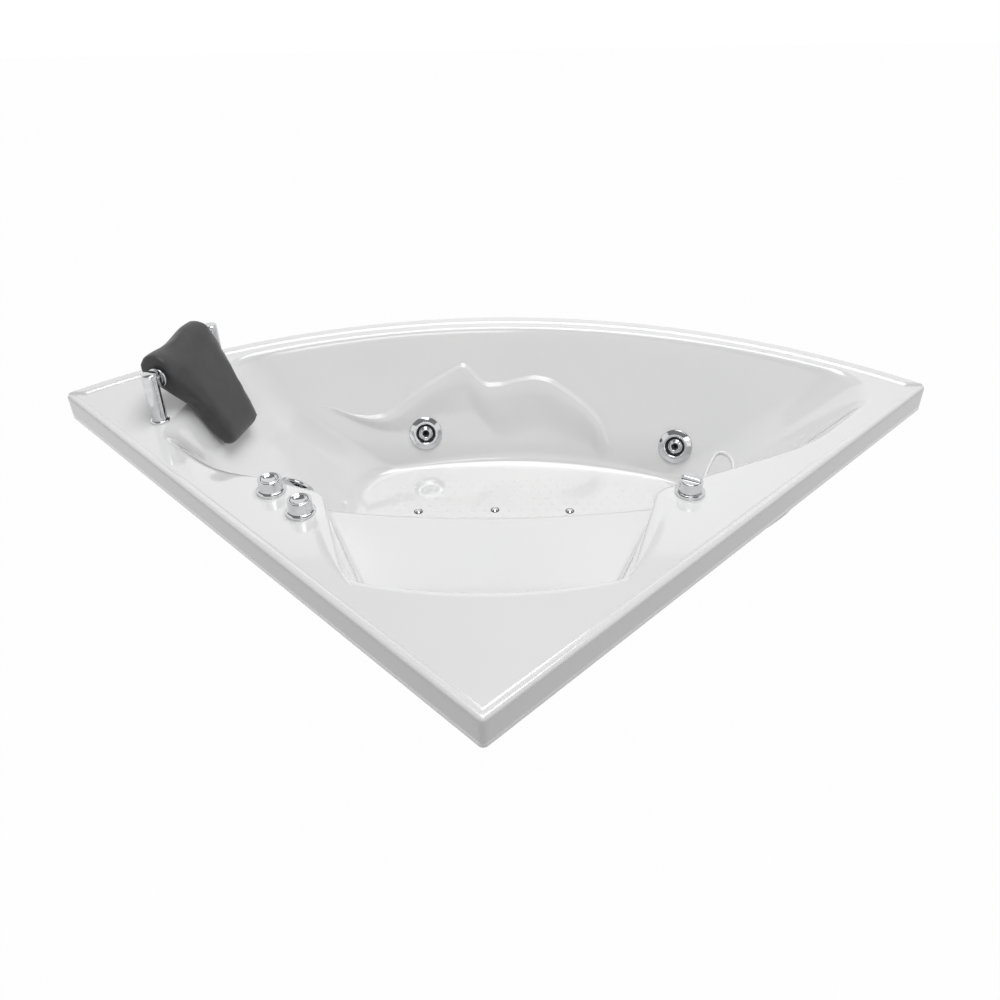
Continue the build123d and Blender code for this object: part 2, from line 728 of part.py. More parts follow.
def pillow_profile():
    """Side view: a thick roll that tapers to a round foot, with a crowned front."""
    roll, foot = Vector(*PILLOW_ROLL_CENTRE), Vector(*slope_point(PILLOW_LENGTH, 0))
    way = (foot - roll).normalized()
    spread = math.degrees(math.acos((PILLOW_ROLL_RADIUS - PILLOW_FOOT_RADIUS) / (foot - roll).length))
    front, rear = way.rotate(Axis.Z, spread), way.rotate(Axis.Z, -spread)
    a, b = roll + front * PILLOW_ROLL_RADIUS, foot + front * PILLOW_FOOT_RADIUS
    c, d = foot + rear * PILLOW_FOOT_RADIUS, roll + rear * PILLOW_ROLL_RADIUS
    crown = (a + b) * 0.5 + front * PILLOW_CROWN
    top = roll - way * PILLOW_ROLL_RADIUS
    toe = foot + way * PILLOW_FOOT_RADIUS
    rest = Vector(*PILLOW_REST)
    front_side, lower_end = ThreePointArc(a, crown, b), ThreePointArc(b, toe, c)
    return make_face([front_side, lower_end, Line(c, rest), Line(rest, d), ThreePointArc(d, top, a)])


def pillow_front():
    """Front view: a waisted top between two shoulders, sides drawn in, round lower corners."""
    wide, narrow = PILLOW_WIDTH / 2, PILLOW_FOOT_WIDTH / 2
    high, low = PILLOW_TOP, -PILLOW_LENGTH - PILLOW_FOOT_RADIUS
    left, right = (-PILLOW_SHOULDER, high), (PILLOW_SHOULDER, high)
    edge = Polyline(
        left, (-wide, high), (-wide, PILLOW_WIDEST), (-narrow, low),
        (narrow, low), (wide, PILLOW_WIDEST), (wide, high), right,
    )
    face = make_face([edge, ThreePointArc(right, (0, high - PILLOW_NECK), left)])
    lower = face.vertices().group_by(Axis.Y)[0]
    return fillet(lower, PILLOW_FOOT_ROUND)


def pillow():
    start, end = pillow_ends()
    body = extrude(along_axle(start) * pillow_profile(), start - end)
    slope = math.radians(PILLOW_SLOPE)
    down = INWARD * math.cos(slope) - Vector(0, 0, math.sin(slope))
    origin = AXLE_PLANE.origin + POST_WAY * (POST_SPACING / 2)
    view = Plane(origin, x_dir=POST_WAY * -1, z_dir=(POST_WAY * -1).cross(down * -1))
    body &= extrude(view * pillow_front(), PILLOW_LENGTH, both=True)
    return body - rod(SLEEVE_RADIUS, start - HOLE_ROOM, end + HOLE_ROOM)


# Deck controls

def button_bezel():
    """Flanged housing with a well for the button, a bore for its plunger and a chamber for the bellows."""
    stem_low = -STEM_DROP
    chamber_low, chamber_top = stem_low + STEM_FLOOR, WELL_FLOOR - GUIDE_LENGTH
    ring = CONTROL_RADIUS - BUTTON_RADIUS
    return turned(
        (NIPPLE_BORE, stem_low - NIPPLE_LENGTH), (NIPPLE_RADIUS, stem_low - NIPPLE_LENGTH),
        (NIPPLE_RADIUS, stem_low), (STEM_RADIUS, stem_low), (STEM_RADIUS, 0), (FLANGE_RADIUS, 0),
        (FLANGE_RADIUS, FLANGE_HEIGHT - FLANGE_BEVEL), (FLANGE_RADIUS - FLANGE_BEVEL, FLANGE_HEIGHT),
        (CONTROL_RADIUS, FLANGE_HEIGHT), (CONTROL_RADIUS, CONTROL_HEIGHT - ring / 2),
        (CONTROL_RADIUS - ring / 2, CONTROL_HEIGHT), (BUTTON_RADIUS, CONTROL_HEIGHT),
        (BUTTON_RADIUS, WELL_FLOOR), (PLUNGER_RADIUS + RUNNING, WELL_FLOOR),
        (PLUNGER_RADIUS + RUNNING, chamber_top), (BELLOWS_RADIUS + HOLE_ROOM, chamber_top),
        (BELLOWS_RADIUS + HOLE_ROOM, chamber_low), (NIPPLE_BORE, chamber_low),
    )


def push_button():
    """Dished disc on a plunger that stands on the bellows."""
    top = CONTROL_HEIGHT - BUTTON_SINK
    bellows_top = -STEM_DROP + STEM_FLOOR + BELLOWS_HEIGHT
    disc_radius = BUTTON_RADIUS - RUNNING
    return turned(
        (0, bellows_top), (PLUNGER_RADIUS, bellows_top), (PLUNGER_RADIUS, top - BUTTON_HEIGHT),
        (disc_radius, top - BUTTON_HEIGHT), (disc_radius, top), (disc_radius - BUTTON_DISH, top),
        (DISH_RADIUS, top - DISH_SIDE), (0, top - BUTTON_DISH),
    )


def button_bellows():
    """Folded rubber bellows; pressing it sends an air pulse down the line."""
    low = -STEM_DROP + STEM_FLOOR
    pitch = BELLOWS_HEIGHT / BELLOWS_FOLDS
    points = [(0, low)]
    for i in range(BELLOWS_FOLDS):
        foot = low + i * pitch
        points += [(BELLOWS_WAIST, foot), (BELLOWS_RADIUS, foot + pitch / 2)]
    points += [(BELLOWS_WAIST, low + BELLOWS_HEIGHT), (0, low + BELLOWS_HEIGHT)]
    return turned(*points)


def regulator_base():
    """Air valve under the deck, with a spigot on top for its knob."""
    stem_low = -STEM_DROP
    valve_low = stem_low - VALVE_HEIGHT
    bore = AIR_PIPE_RADIUS - AIR_PIPE_WALL
    return turned(
        (bore, valve_low - NIPPLE_LENGTH), (AIR_PIPE_RADIUS, valve_low - NIPPLE_LENGTH),
        (AIR_PIPE_RADIUS, valve_low), (VALVE_RADIUS, valve_low), (VALVE_RADIUS, stem_low),
        (STEM_RADIUS, stem_low), (STEM_RADIUS, 0), (FLANGE_RADIUS, 0),
        (FLANGE_RADIUS, FLANGE_HEIGHT - FLANGE_BEVEL), (FLANGE_RADIUS - FLANGE_BEVEL, FLANGE_HEIGHT),
        (SPIGOT_RADIUS, FLANGE_HEIGHT), (SPIGOT_RADIUS, SPIGOT_HEIGHT), (0, SPIGOT_HEIGHT),
        (0, stem_low), (bore, stem_low),
    )


def regulator_knob():
    """Cap that turns on the spigot, with a raised finger bar across it."""
    low = FLANGE_HEIGHT + SEATED
    edge = KNOB_EDGE
    cap = turned(
        (SPIGOT_RADIUS + RUNNING, low), (CONTROL_RADIUS, low), (CONTROL_RADIUS, CONTROL_HEIGHT - edge),
        (CONTROL_RADIUS - edge, CONTROL_HEIGHT), (0, CONTROL_HEIGHT), (0, SPIGOT_HEIGHT + SEATED),
        (SPIGOT_RADIUS + RUNNING, SPIGOT_HEIGHT + SEATED),
    )
    length, width, height = FINGER_BAR
    finger = extrude(Pos(0, 0, CONTROL_HEIGHT) * SlotOverall(length, width), height)
    return cap + finger


def deck_nuts():
    """Six-sided nuts on the stems, against the deck's underside."""
    nut = hexagon_nut(DECK_NUT_RADIUS, DECK_NUT_HEIGHT, STEM_RADIUS)
    return [place * Pos(0, 0, UNDERSIDE - DECK_NUT_HEIGHT) * nut for place in DECK_POINTS]


# Water jets, in a local frame with Z out of the wall

def seat_height(radius):
    """How far a flat ring of this radius stands off the curved wall at its middle."""
    return radius ** 2 / (2 * FAR_FLOOR_RADIUS)


JET_SEAT = seat_height(JET_FACE_RADIUS)
JET_BODY_START = WALL_BACK + JET_NUT_HEIGHT + SEATED
JET_FLANGE_TOP = JET_SEAT + JET_FLANGE


def jet_face():
    """Domed ring that turns in the fitting's bore and holds the ball of the nozzle."""
    neck = JET_BORE_RADIUS - RUNNING
    lip = JET_SEAT + JET_LIP
    room = JET_FLANGE_TOP + SEATED
    ring = turned(
        (0, -JET_NECK), (neck, -JET_NECK), (neck, room), (JET_FLANGE_RADIUS + SEATED, room),
        (JET_FLANGE_RADIUS + SEATED, lip), (JET_FACE_RADIUS, lip), (JET_FACE_RADIUS, lip + JET_FLANGE),
        (JET_FLAT_RADIUS, JET_FACE_HEIGHT), (0, JET_FACE_HEIGHT),
    )
    return ring - Pos(0, 0, -BALL_SINK) * Sphere(BALL_RADIUS)


def jet_nozzle():
    """Ball with a flared bore."""
    ball = Sphere(BALL_RADIUS - RUNNING) & disc(BALL_RADIUS, -BALL_BACK, BALL_FRONT)
    out = BALL_FRONT + HOLE_ROOM
    side = ((NOZZLE_MOUTH, -BALL_RADIUS), (NOZZLE_BORE, 0), (NOZZLE_MOUTH, out))
    bore = turned((0, -BALL_RADIUS), *side, (0, out))
    return Pos(0, 0, -BALL_SINK) * (ball - bore)


def jet_fitting():
    """Flange against the wall and a threaded tube through it."""
    return disc(JET_FLANGE_RADIUS, JET_SEAT, JET_FLANGE_TOP) + tube(
        JET_THREAD_RADIUS, JET_BORE_RADIUS, -JET_TUBE_LENGTH, JET_FLANGE_TOP) - disc(
        JET_BORE_RADIUS, JET_SEAT - HOLE_ROOM, JET_FLANGE_TOP + HOLE_ROOM)


def hexagon_nut(radius, height, bore):
    return extrude(RegularPolygon(radius, 6), height) - disc(bore, -height, 2 * height)


def jet_nut():
    nut = hexagon_nut(JET_NUT_RADIUS, JET_NUT_HEIGHT, JET_THREAD_RADIUS)
    return Pos(0, 0, -WALL_BACK - JET_NUT_HEIGHT) * nut


def port(direction, up, radius, wall):
    """A pipe stub and its bore on the side of a jet body."""
    start = Plane((0, up, -JET_PORT_DEPTH), z_dir=(direction, 0, 0))
    stub = extrude(start * Circle(radius), JET_PORT_REACH)
    bore = extrude(start * Circle(radius - wall), JET_PORT_REACH + HOLE_ROOM)
    return stub, bore


def jet_body(directions):
    """Mixing chamber on the tube's end, with a water port and an air port on each named side."""
    low = -JET_BODY_START - JET_BODY_LENGTH
    body = disc(JET_BODY_RADIUS, low, -JET_BODY_START)
    bores = [disc(JET_THREAD_RADIUS, -JET_TUBE_LENGTH, 0), disc(JET_BORE_RADIUS, low + JET_BODY_END, 0)]
    for direction in directions:
        water = port(direction, -PORT_SPREAD, WATER_PIPE_RADIUS, WATER_PIPE_WALL)
        air = port(direction, PORT_SPREAD, AIR_PIPE_RADIUS, AIR_PIPE_WALL)
        body += water[0] + air[0]
        bores += [water[1], air[1]]
    for bore in bores:
        body -= bore
    return body


def at_jets(shapes):
    return [plane.location * shape for plane, shape in zip(JET_PLANES, shapes)]


def port_end(plane, direction, up):
    """The middle of a port's end, and the point a step further out along it."""
    depth = -JET_PORT_DEPTH
    end = plane.from_local_coords(Vector(direction * (JET_PORT_REACH + SEATED), up, depth))
    return end, plane.x_dir * direction


def crossing(first, first_way, second, second_way):
    """Where two level lines meet, at their middle height."""
    gap = second - first
    turn = first_way.X * second_way.Y - first_way.Y * second_way.X
    point = first + first_way * ((gap.X * second_way.Y - gap.Y * second_way.X) / turn)
    return Vector(point.X, point.Y, (first.Z + second.Z) / 2)


def between_jets(up, radius, wall):
    """Pipe from the left port of the second jet to the right port of the first."""
    left, left_way = port_end(JET_PLANES[0], 1, up)
    right, right_way = port_end(JET_PLANES[1], -1, up)
    return pipe([left, crossing(left, left_way, right, right_way), right], radius, wall, LONG_BEND)


def water_pipes():
    """Pressure pipe from the pump round the right-hand tip to the jets."""
    y, z = PUMP_SHAFT
    outlet = Vector(VOLUTE_X, y + DISCHARGE_OFFSET, z + VOLUTE_RADIUS + DISCHARGE_RISE + SEATED)
    end, way = port_end(JET_PLANES[1], 1, -PORT_SPREAD)
    turns = [Vector(x, y, rise - BASIN_DEPTH) for x, y, rise in WATER_ROUTE]
    route = [outlet, outlet + Vector(0, 0, WATER_RISE)] + turns + [end + way * PORT_RUN, end]
    first = pipe(route, WATER_PIPE_RADIUS, WATER_PIPE_WALL, WATER_BENDS)
    return [first, between_jets(-PORT_SPREAD, WATER_PIPE_RADIUS, WATER_PIPE_WALL)]


def air_pipes():
    """Air pipe from the regulator round the right-hand tip to the jets."""
    start = Vector(*REGULATOR_PLACE, -STEM_DROP - VALVE_HEIGHT - NIPPLE_LENGTH - SEATED)
    end, way = port_end(JET_PLANES[1], 1, PORT_SPREAD)
    turns = [Vector(*p) for p in AIR_ROUTE]
    route = [start, start - Vector(0, 0, AIR_FALL)] + turns + [end + way * PORT_RUN, end]
    first = pipe(route, AIR_PIPE_RADIUS, AIR_PIPE_WALL, AIR_BENDS)
    return [first, between_jets(PORT_SPREAD, AIR_PIPE_RADIUS, AIR_PIPE_WALL)]


# Floor air jets

def air_jet_caps():
    """Small domes with a ring of holes, each on a hollow stem through the floor."""
    cap = turned(
        (AIR_STEM_BORE, -AIR_STEM_LENGTH), (AIR_STEM_RADIUS, -AIR_STEM_LENGTH), (AIR_STEM_RADIUS, 0),
        (AIR_CAP_RADIUS, 0), (AIR_CAP_RADIUS, AIR_CAP_EDGE), (AIR_CAP_FLAT, AIR_CAP_HEIGHT),
        (0, AIR_CAP_HEIGHT), (0, AIR_CAP_HEIGHT / 2), (AIR_STEM_BORE, AIR_CAP_HEIGHT / 2),
    )
    for place in PolarLocations(AIR_HOLE_PLACE, AIR_HOLES):
        cap -= place * disc(AIR_HOLE_RADIUS, 0, 2 * AIR_CAP_HEIGHT)
    return [Pos(x, y, -BASIN_DEPTH) * cap for x, y in AIR_JET_PLACES]


def air_jet_nuts():
    nut = hexagon_nut(AIR_NUT_RADIUS, AIR_NUT_HEIGHT, AIR_STEM_RADIUS)
    return [Pos(x, y, BOARD_TOP - AIR_NUT_HEIGHT) * nut for x, y in AIR_JET_PLACES]


def air_manifold():
    """Pipe under the floor that feeds the three air jets."""
    left, right = MANIFOLD
    line = Plane((left, MANIFOLD_Y, MANIFOLD_Z), z_dir=(1, 0, 0))
    pipe_body = extrude(line * Circle(WATER_PIPE_RADIUS), right - left)
    pipe_body -= extrude(line * Circle(WATER_PIPE_RADIUS - WATER_PIPE_WALL), right - left - WATER_PIPE_WALL)
    for x, y in AIR_JET_PLACES:
        pipe_body -= Pos(x, y, MANIFOLD_Z) * disc(AIR_STEM_RADIUS + RUNNING, 0, 2 * WATER_PIPE_RADIUS)
    return pipe_body


def blower_hose():
    """Hose from the blower over the side beam and down to the manifold."""
    high = SHELF_TOP + BLOWER_PORT_RISE
    start = BLOWER_X + BLOWER_RADIUS + BLOWER_STUB + SEATED
    end = MANIFOLD[0] - SEATED
    points = ((start, high), (start + HOSE_OVER, high), (end - HOSE_RUN, MANIFOLD_Z), (end, MANIFOLD_Z))
    return pipe([(x, MANIFOLD_Y, z) for x, z in points], WATER_PIPE_RADIUS, WATER_PIPE_WALL, HOSE_BEND)


# Suction

SUCTION_SEAT = seat_height(SUCTION_COVER_RADIUS)


def suction_cover():
    """Slotted dome that keeps hair and toes out of the suction."""
    low = SUCTION_FLANGE + SEATED
    dome = turned(
        (0, SUCTION_SEAT), (SUCTION_COVER_RADIUS, SUCTION_SEAT), (SUCTION_COVER_RADIUS, SUCTION_COVER_EDGE),
        (SUCTION_COVER_FLAT, SUCTION_COVER_HEIGHT), (0, SUCTION_COVER_HEIGHT),
    )
    dome -= disc(SUCTION_FLANGE_RADIUS + SEATED, 0, low)
    slot = Box(SUCTION_SLOT_LENGTH, SUCTION_SLOT, 3 * SUCTION_COVER_HEIGHT)
    for place in PolarLocations(SUCTION_SLOT_PLACE, SUCTION_SLOTS):
        dome -= place * slot
    return SUCTION_PLANE.location * (dome - disc(SCREW_RADIUS / 2, 0, 2 * SUCTION_COVER_HEIGHT))


def suction_screw():
    """Screw through the cover's middle into the bridge of the body."""
    top = SUCTION_COVER_HEIGHT
    screw = disc(SCREW_RADIUS, top, top + SCREW_RADIUS / 2) + disc(SCREW_RADIUS / 2, -BRIDGE, top)
    notch = Pos(0, 0, top + SCREW_RADIUS / 2) * Box(2 * SCREW_RADIUS, SLOT_SINK, SLOT_SINK)
    return SUCTION_PLANE.location * (screw - notch)


def suction_body():
    """Flange, threaded tube, a bridge for the screw and a spigot for the pipe."""
    low = -SUCTION_BODY_LENGTH
    outer = disc(SUCTION_FLANGE_RADIUS, SUCTION_SEAT, SUCTION_FLANGE)
    outer += disc(JET_THREAD_RADIUS, -SUCTION_THREAD, SUCTION_FLANGE)
    outer += disc(SUCTION_PIPE_RADIUS, low, 0)
    outer -= disc(JET_BORE_RADIUS, -SUCTION_WIDE, SUCTION_FLANGE + HOLE_ROOM)
    outer -= disc(SUCTION_PIPE_RADIUS - WATER_PIPE_WALL, low - HOLE_ROOM, 0)
    half = JET_BORE_RADIUS + HOLE_ROOM
    side = BRIDGE_WIDTH / 2
    bridge = bar((-half, half), (-side, side), (SUCTION_FLANGE - BRIDGE, SUCTION_FLANGE))
    screw_hole = disc(SCREW_RADIUS / 2, -2 * BRIDGE, SUCTION_FLANGE + HOLE_ROOM)
    return SUCTION_PLANE.location * (outer + bridge - screw_hole)


def suction_nut():
    nut = hexagon_nut(SUCTION_FLANGE_RADIUS, JET_NUT_HEIGHT, JET_THREAD_RADIUS)
    return SUCTION_PLANE.location * Pos(0, 0, -WALL_BACK - JET_NUT_HEIGHT) * nut


def suction_pipe():
    """Pipe from the suction to the pump's inlet."""
    y, z = PUMP_SHAFT
    start = SUCTION_PLANE.from_local_coords(Vector(0, 0, -SUCTION_BODY_LENGTH - SEATED))
    way = SUCTION_PLANE.z_dir * -1
    corner = start + way * ((y - start.Y) / way.Y)
    inlet = (VOLUTE_X + VOLUTE_LENGTH / 2 + INLET_LENGTH + SEATED, y, z)
    return pipe([start, corner, inlet], SUCTION_PIPE_RADIUS, WATER_PIPE_WALL, SUCTION_BEND)


# Waste and overflow

def drain_flange():
    """Floor ring with a threaded neck."""
    low, high = -BASIN_DEPTH, -BASIN_DEPTH + DRAIN_FLANGE
    outside = DRAIN_THROAT + DRAIN_WALL
    ring = turned(
        (DRAIN_THROAT, low - DRAIN_NECK), (outside, low - DRAIN_NECK), (outside, low),
        (DRAIN_FLANGE_RADIUS, low), (DRAIN_FLANGE_RADIUS, low + DRAIN_EDGE),
        (PLUG_RADIUS + HOLE_ROOM, high), (outside, high), (DRAIN_THROAT, low),
    )
    return Pos(*DRAIN_PLACE, 0) * ring


def drain_plug():
    """Domed plug with its stem, shut at rest."""
    low = -BASIN_DEPTH + DRAIN_FLANGE + SEATED
    stem_low, high = low - PLUG_STEM_LENGTH, low + PLUG_HEIGHT
    plug = turned(
        (0, stem_low), (PLUG_STEM_RADIUS, stem_low), (PLUG_STEM_RADIUS, low),
        (PLUG_RADIUS, low), (PLUG_RADIUS, low + PLUG_EDGE), (PLUG_FLAT, high), (0, high),
    )
    return Pos(*DRAIN_PLACE, 0) * plug


def drain_port_way():
    turn = Vector(*OVERFLOW_ROUTE[-1]) - Vector(*DRAIN_PLACE, OVERFLOW_ROUTE[-1][2])
    return turn.normalized()


def drain_body():
    """Outlet below the floor, with a guide for the plug's stem and a side port for the overflow."""
    low, high = BOARD_TOP - DRAIN_BODY_DROP, BOARD_TOP
    body = disc(DRAIN_BODY_RADIUS, low, high)
    side = Plane((0, 0, OVERFLOW_PORT_Z), z_dir=drain_port_way())
    body += extrude(side * Circle(OVERFLOW_PIPE_RADIUS), DRAIN_PORT_REACH)
    body -= disc(DRAIN_THROAT + DRAIN_WALL, -BASIN_DEPTH - DRAIN_NECK, high + HOLE_ROOM)
    body -= disc(DRAIN_THROAT, low + DRAIN_WALL, high)
    body -= disc(TRAP_RADIUS - TRAP_WALL, low - HOLE_ROOM, high)
    body -= extrude(side * Circle(OVERFLOW_PIPE_RADIUS - OVERFLOW_PIPE_WALL), DRAIN_PORT_REACH + HOLE_ROOM)
    guide_top = high - GUIDE_DROP
    reach, side = DRAIN_THROAT + HOLE_ROOM, DRAIN_WALL / 2
    arms = bar((-reach, reach), (-side, side), (guide_top - GUIDE_HEIGHT, guide_top))
    guide = disc(GUIDE_RADIUS, guide_top - GUIDE_HEIGHT, guide_top) + arms
    body += guide - disc(PLUG_STEM_RADIUS + RUNNING, guide_top - 2 * GUIDE_HEIGHT, guide_top + GUIDE_HEIGHT)
    return Pos(*DRAIN_PLACE, 0) * body


def drain_trap():
    """Water trap: down, across, up and out to the waste pipe of the house."""
    x, y = DRAIN_PLACE
    top = BOARD_TOP - DRAIN_BODY_DROP
    low = top - TRAP_DROP
    high = low + TRAP_RISE
    far = x + TRAP_SPAN
    points = [(x, y, top), (x, y, low), (far, y, low), (far, y, high), (far + TAIL_LENGTH, y, high)]
    return pipe(points, TRAP_RADIUS, TRAP_WALL, TRAP_BENDS)


def overflow_rosette():
    """Ring on the wall with a threaded tube behind it and a hub for the dial's shaft."""
    ring = disc(ROSETTE_RADIUS, seat_height(ROSETTE_RADIUS) + SEATED, ROSETTE)
    ring += disc(OVERFLOW_THREAD_RADIUS, -OVERFLOW_THREAD_LENGTH, ROSETTE)
    ring -= disc(OVERFLOW_BORE_RADIUS, -OVERFLOW_THREAD_LENGTH - HOLE_ROOM, ROSETTE + HOLE_ROOM)
    half = OVERFLOW_BORE_RADIUS + HOLE_ROOM
    arm = bar((-half, half), (-ROSETTE / 2, ROSETTE / 2), (-ROSETTE, ROSETTE))
    ring += arm + disc(HUB_RADIUS, -ROSETTE, ROSETTE)
    return OVERFLOW_PLANE.location * (ring - disc(DIAL_SHAFT_RADIUS + RUNNING, -4 * ROSETTE, 2 * ROSETTE))


def overflow_dial():
    """Domed dial standing off the wall; turning it lifts the plug."""
    low, high = DIAL_STAND_OFF, DIAL_STAND_OFF + DIAL_HEIGHT
    shaft_low = -DIAL_SHAFT_BACK
    dial = turned(
        (0, shaft_low), (DIAL_SHAFT_RADIUS, shaft_low), (DIAL_SHAFT_RADIUS, low), (DIAL_RADIUS, low),
        (DIAL_RADIUS, low + DIAL_EDGE), (DIAL_FLAT, high), (0, high),
    )
    return OVERFLOW_PLANE.location * dial


def overflow_body():
    """Box behind the wall that takes the overflow water to its pipe."""
    start = -WALL_BACK
    low = start - OVERFLOW_BODY_LENGTH
    case = OVERFLOW_PLANE.location * disc(OVERFLOW_BODY_RADIUS, low, start)
    bore = disc(OVERFLOW_THREAD_RADIUS, -OVERFLOW_THREAD_LENGTH, 0)
    bore += disc(OVERFLOW_BORE_RADIUS, low + DRAIN_WALL, 0)
    stub = OVERFLOW_OUTLET * disc(OVERFLOW_PIPE_RADIUS, 0, OVERFLOW_STUB)
    hollow = OVERFLOW_OUTLET * disc(OVERFLOW_PIPE_RADIUS - OVERFLOW_PIPE_WALL, 0, OVERFLOW_STUB + HOLE_ROOM)
    return (case - OVERFLOW_PLANE.location * bore) + (stub - case) - hollow


def overflow_pipe():
    """Pipe down outside the basin and under the near rail to the drain."""
    start = (OVERFLOW_OUTLET * Pos(0, 0, OVERFLOW_STUB + SEATED)).position
    end = Vector(*DRAIN_PLACE, OVERFLOW_PORT_Z) + drain_port_way() * (DRAIN_PORT_REACH + SEATED)
    route = [start, start - Vector(0, 0, OVERFLOW_FALL)] + [Vector(*p) for p in OVERFLOW_ROUTE] + [end]
    return pipe(route, OVERFLOW_PIPE_RADIUS, OVERFLOW_PIPE_WALL, OVERFLOW_BENDS)


# Pump, with its shaft along X

def on_shaft(shape):
    """A solid turned about Z laid along the pump's shaft, its Z becoming X."""
    y, z = PUMP_SHAFT
    return Pos(0, y, z) * Rot(0, 90, 0) * shape


VOLUTE_LEFT = VOLUTE_X - VOLUTE_LENGTH / 2
VOLUTE_RIGHT = VOLUTE_X + VOLUTE_LENGTH / 2
MOTOR_LEFT = VOLUTE_LEFT - MOTOR_LENGTH


def pump_volute():
    """Housing round the impeller: inlet on its axis, discharge upwards beside it."""
    inner = VOLUTE_RADIUS - VOLUTE_WALL
    body = on_shaft(disc(VOLUTE_RADIUS, VOLUTE_LEFT, VOLUTE_RIGHT))
    body += on_shaft(disc(SUCTION_PIPE_RADIUS, VOLUTE_RIGHT, VOLUTE_RIGHT + INLET_LENGTH))
    y, z = PUMP_SHAFT
    rise = Pos(VOLUTE_X, y + DISCHARGE_OFFSET, z)
    height = VOLUTE_RADIUS + DISCHARGE_RISE
    body += rise * disc(WATER_PIPE_RADIUS, 0, height)
    body -= on_shaft(disc(inner, VOLUTE_LEFT + VOLUTE_WALL, VOLUTE_RIGHT - VOLUTE_WALL))
    inlet_bore = SUCTION_PIPE_RADIUS - WATER_PIPE_WALL
    body -= on_shaft(disc(inlet_bore, VOLUTE_X, VOLUTE_RIGHT + INLET_LENGTH + HOLE_ROOM))
    body -= on_shaft(disc(SHAFT_RADIUS + RUNNING, VOLUTE_LEFT - HOLE_ROOM, VOLUTE_X))
    return body - rise * disc(WATER_PIPE_RADIUS - WATER_PIPE_WALL, 0, height + HOLE_ROOM)


def pump_motor():
    """Finned motor case with its stator ring round the rotor."""
    middle = (MOTOR_LEFT + VOLUTE_LEFT) / 2
    core = (middle - ROTOR_LENGTH / 2, middle + ROTOR_LENGTH / 2)
    case = disc(MOTOR_RADIUS, MOTOR_LEFT, VOLUTE_LEFT)
    half = MOTOR_LENGTH / 2 - 2 * MOTOR_WALL
    reach = (MOTOR_RADIUS - FIN, MOTOR_RADIUS + FIN_HEIGHT)
    fin = bar(reach, (-FIN / 2, FIN / 2), (middle - half, middle + half))
    for turn in PolarLocations(0, MOTOR_FINS):
        case += turn * fin
    case -= disc(ROTOR_RADIUS + ROTOR_GAP, core[0] - HOLE_ROOM, core[1] + HOLE_ROOM)
    case -= disc(WINDING_RADIUS, MOTOR_LEFT + MOTOR_WALL, core[0])
    case -= disc(WINDING_RADIUS, core[1], VOLUTE_LEFT - MOTOR_WALL)
    return on_shaft(case - disc(SHAFT_RADIUS + RUNNING, MOTOR_LEFT - HOLE_ROOM, VOLUTE_LEFT + HOLE_ROOM))


def pump_rotor():
    """Shaft with the motor's rotor core and the impeller."""
    middle = (MOTOR_LEFT + VOLUTE_LEFT) / 2
    back = VOLUTE_LEFT + VOLUTE_WALL + BLADE
    rotor = disc(SHAFT_RADIUS, MOTOR_LEFT, back + BLADE_HEIGHT)
    rotor += disc(ROTOR_RADIUS, middle - ROTOR_LENGTH / 2, middle + ROTOR_LENGTH / 2)
    rotor += disc(IMPELLER_RADIUS, back, back + BLADE) + disc(IMPELLER_HUB, back, back + BLADE_HEIGHT)
    side = IMPELLER_HUB / 2
    ends = (BLADE / 2, IMPELLER_RADIUS - BLADE / 2)
    blade = bar(ends, (side - BLADE / 2, side + BLADE / 2), (back, back + BLADE_HEIGHT))
    for turn in PolarLocations(0, IMPELLER_BLADES):
        rotor += turn * blade
    return on_shaft(rotor)


def pump_foot():
    """Saddle that carries the motor on the shelf."""
    y, z = PUMP_SHAFT
    middle = (MOTOR_LEFT + VOLUTE_LEFT) / 2
    half_x, half_y, height = FOOT_SIZE[0] / 2, FOOT_SIZE[1] / 2, FOOT_SIZE[2]
    heights = (SHELF_TOP, SHELF_TOP + height)
    saddle = bar((middle - half_x, middle + half_x), (y - half_y, y + half_y), heights)
    room = MOTOR_RADIUS + FIN_HEIGHT + SEATED
    return saddle - on_shaft(disc(room, MOTOR_LEFT - HOLE_ROOM, VOLUTE_LEFT + HOLE_ROOM))


# Blower, with its shaft along Z

BLOWER_AT = Pos(BLOWER_X, MANIFOLD_Y, SHELF_TOP)


def blower_housing():
    """Round case with slots on top, a bearing at each end and an outlet stub at its foot."""
    case = disc(BLOWER_RADIUS, 0, BLOWER_HEIGHT)
    outlet = Plane((0, 0, BLOWER_PORT_RISE), z_dir=(1, 0, 0))
    case += extrude(outlet * Circle(WATER_PIPE_RADIUS), BLOWER_RADIUS + BLOWER_STUB)
    case -= disc(BLOWER_RADIUS - BLOWER_WALL, BLOWER_WALL, BLOWER_HEIGHT - BLOWER_WALL)
    outlet_bore = Circle(WATER_PIPE_RADIUS - WATER_PIPE_WALL)
    case -= extrude(outlet * outlet_bore, BLOWER_RADIUS + BLOWER_STUB + HOLE_ROOM)
    slot = Pos(0, 0, BLOWER_HEIGHT) * Box(VENT_LENGTH, BLOWER_WALL, 3 * BLOWER_WALL)
    for place in PolarLocations(VENT_PLACE, BLOWER_SLOTS):
        case -= place * slot
    return BLOWER_AT * (case - disc(FAN_SHAFT_RADIUS + RUNNING, HOLE_ROOM, BLOWER_HEIGHT - HOLE_ROOM))


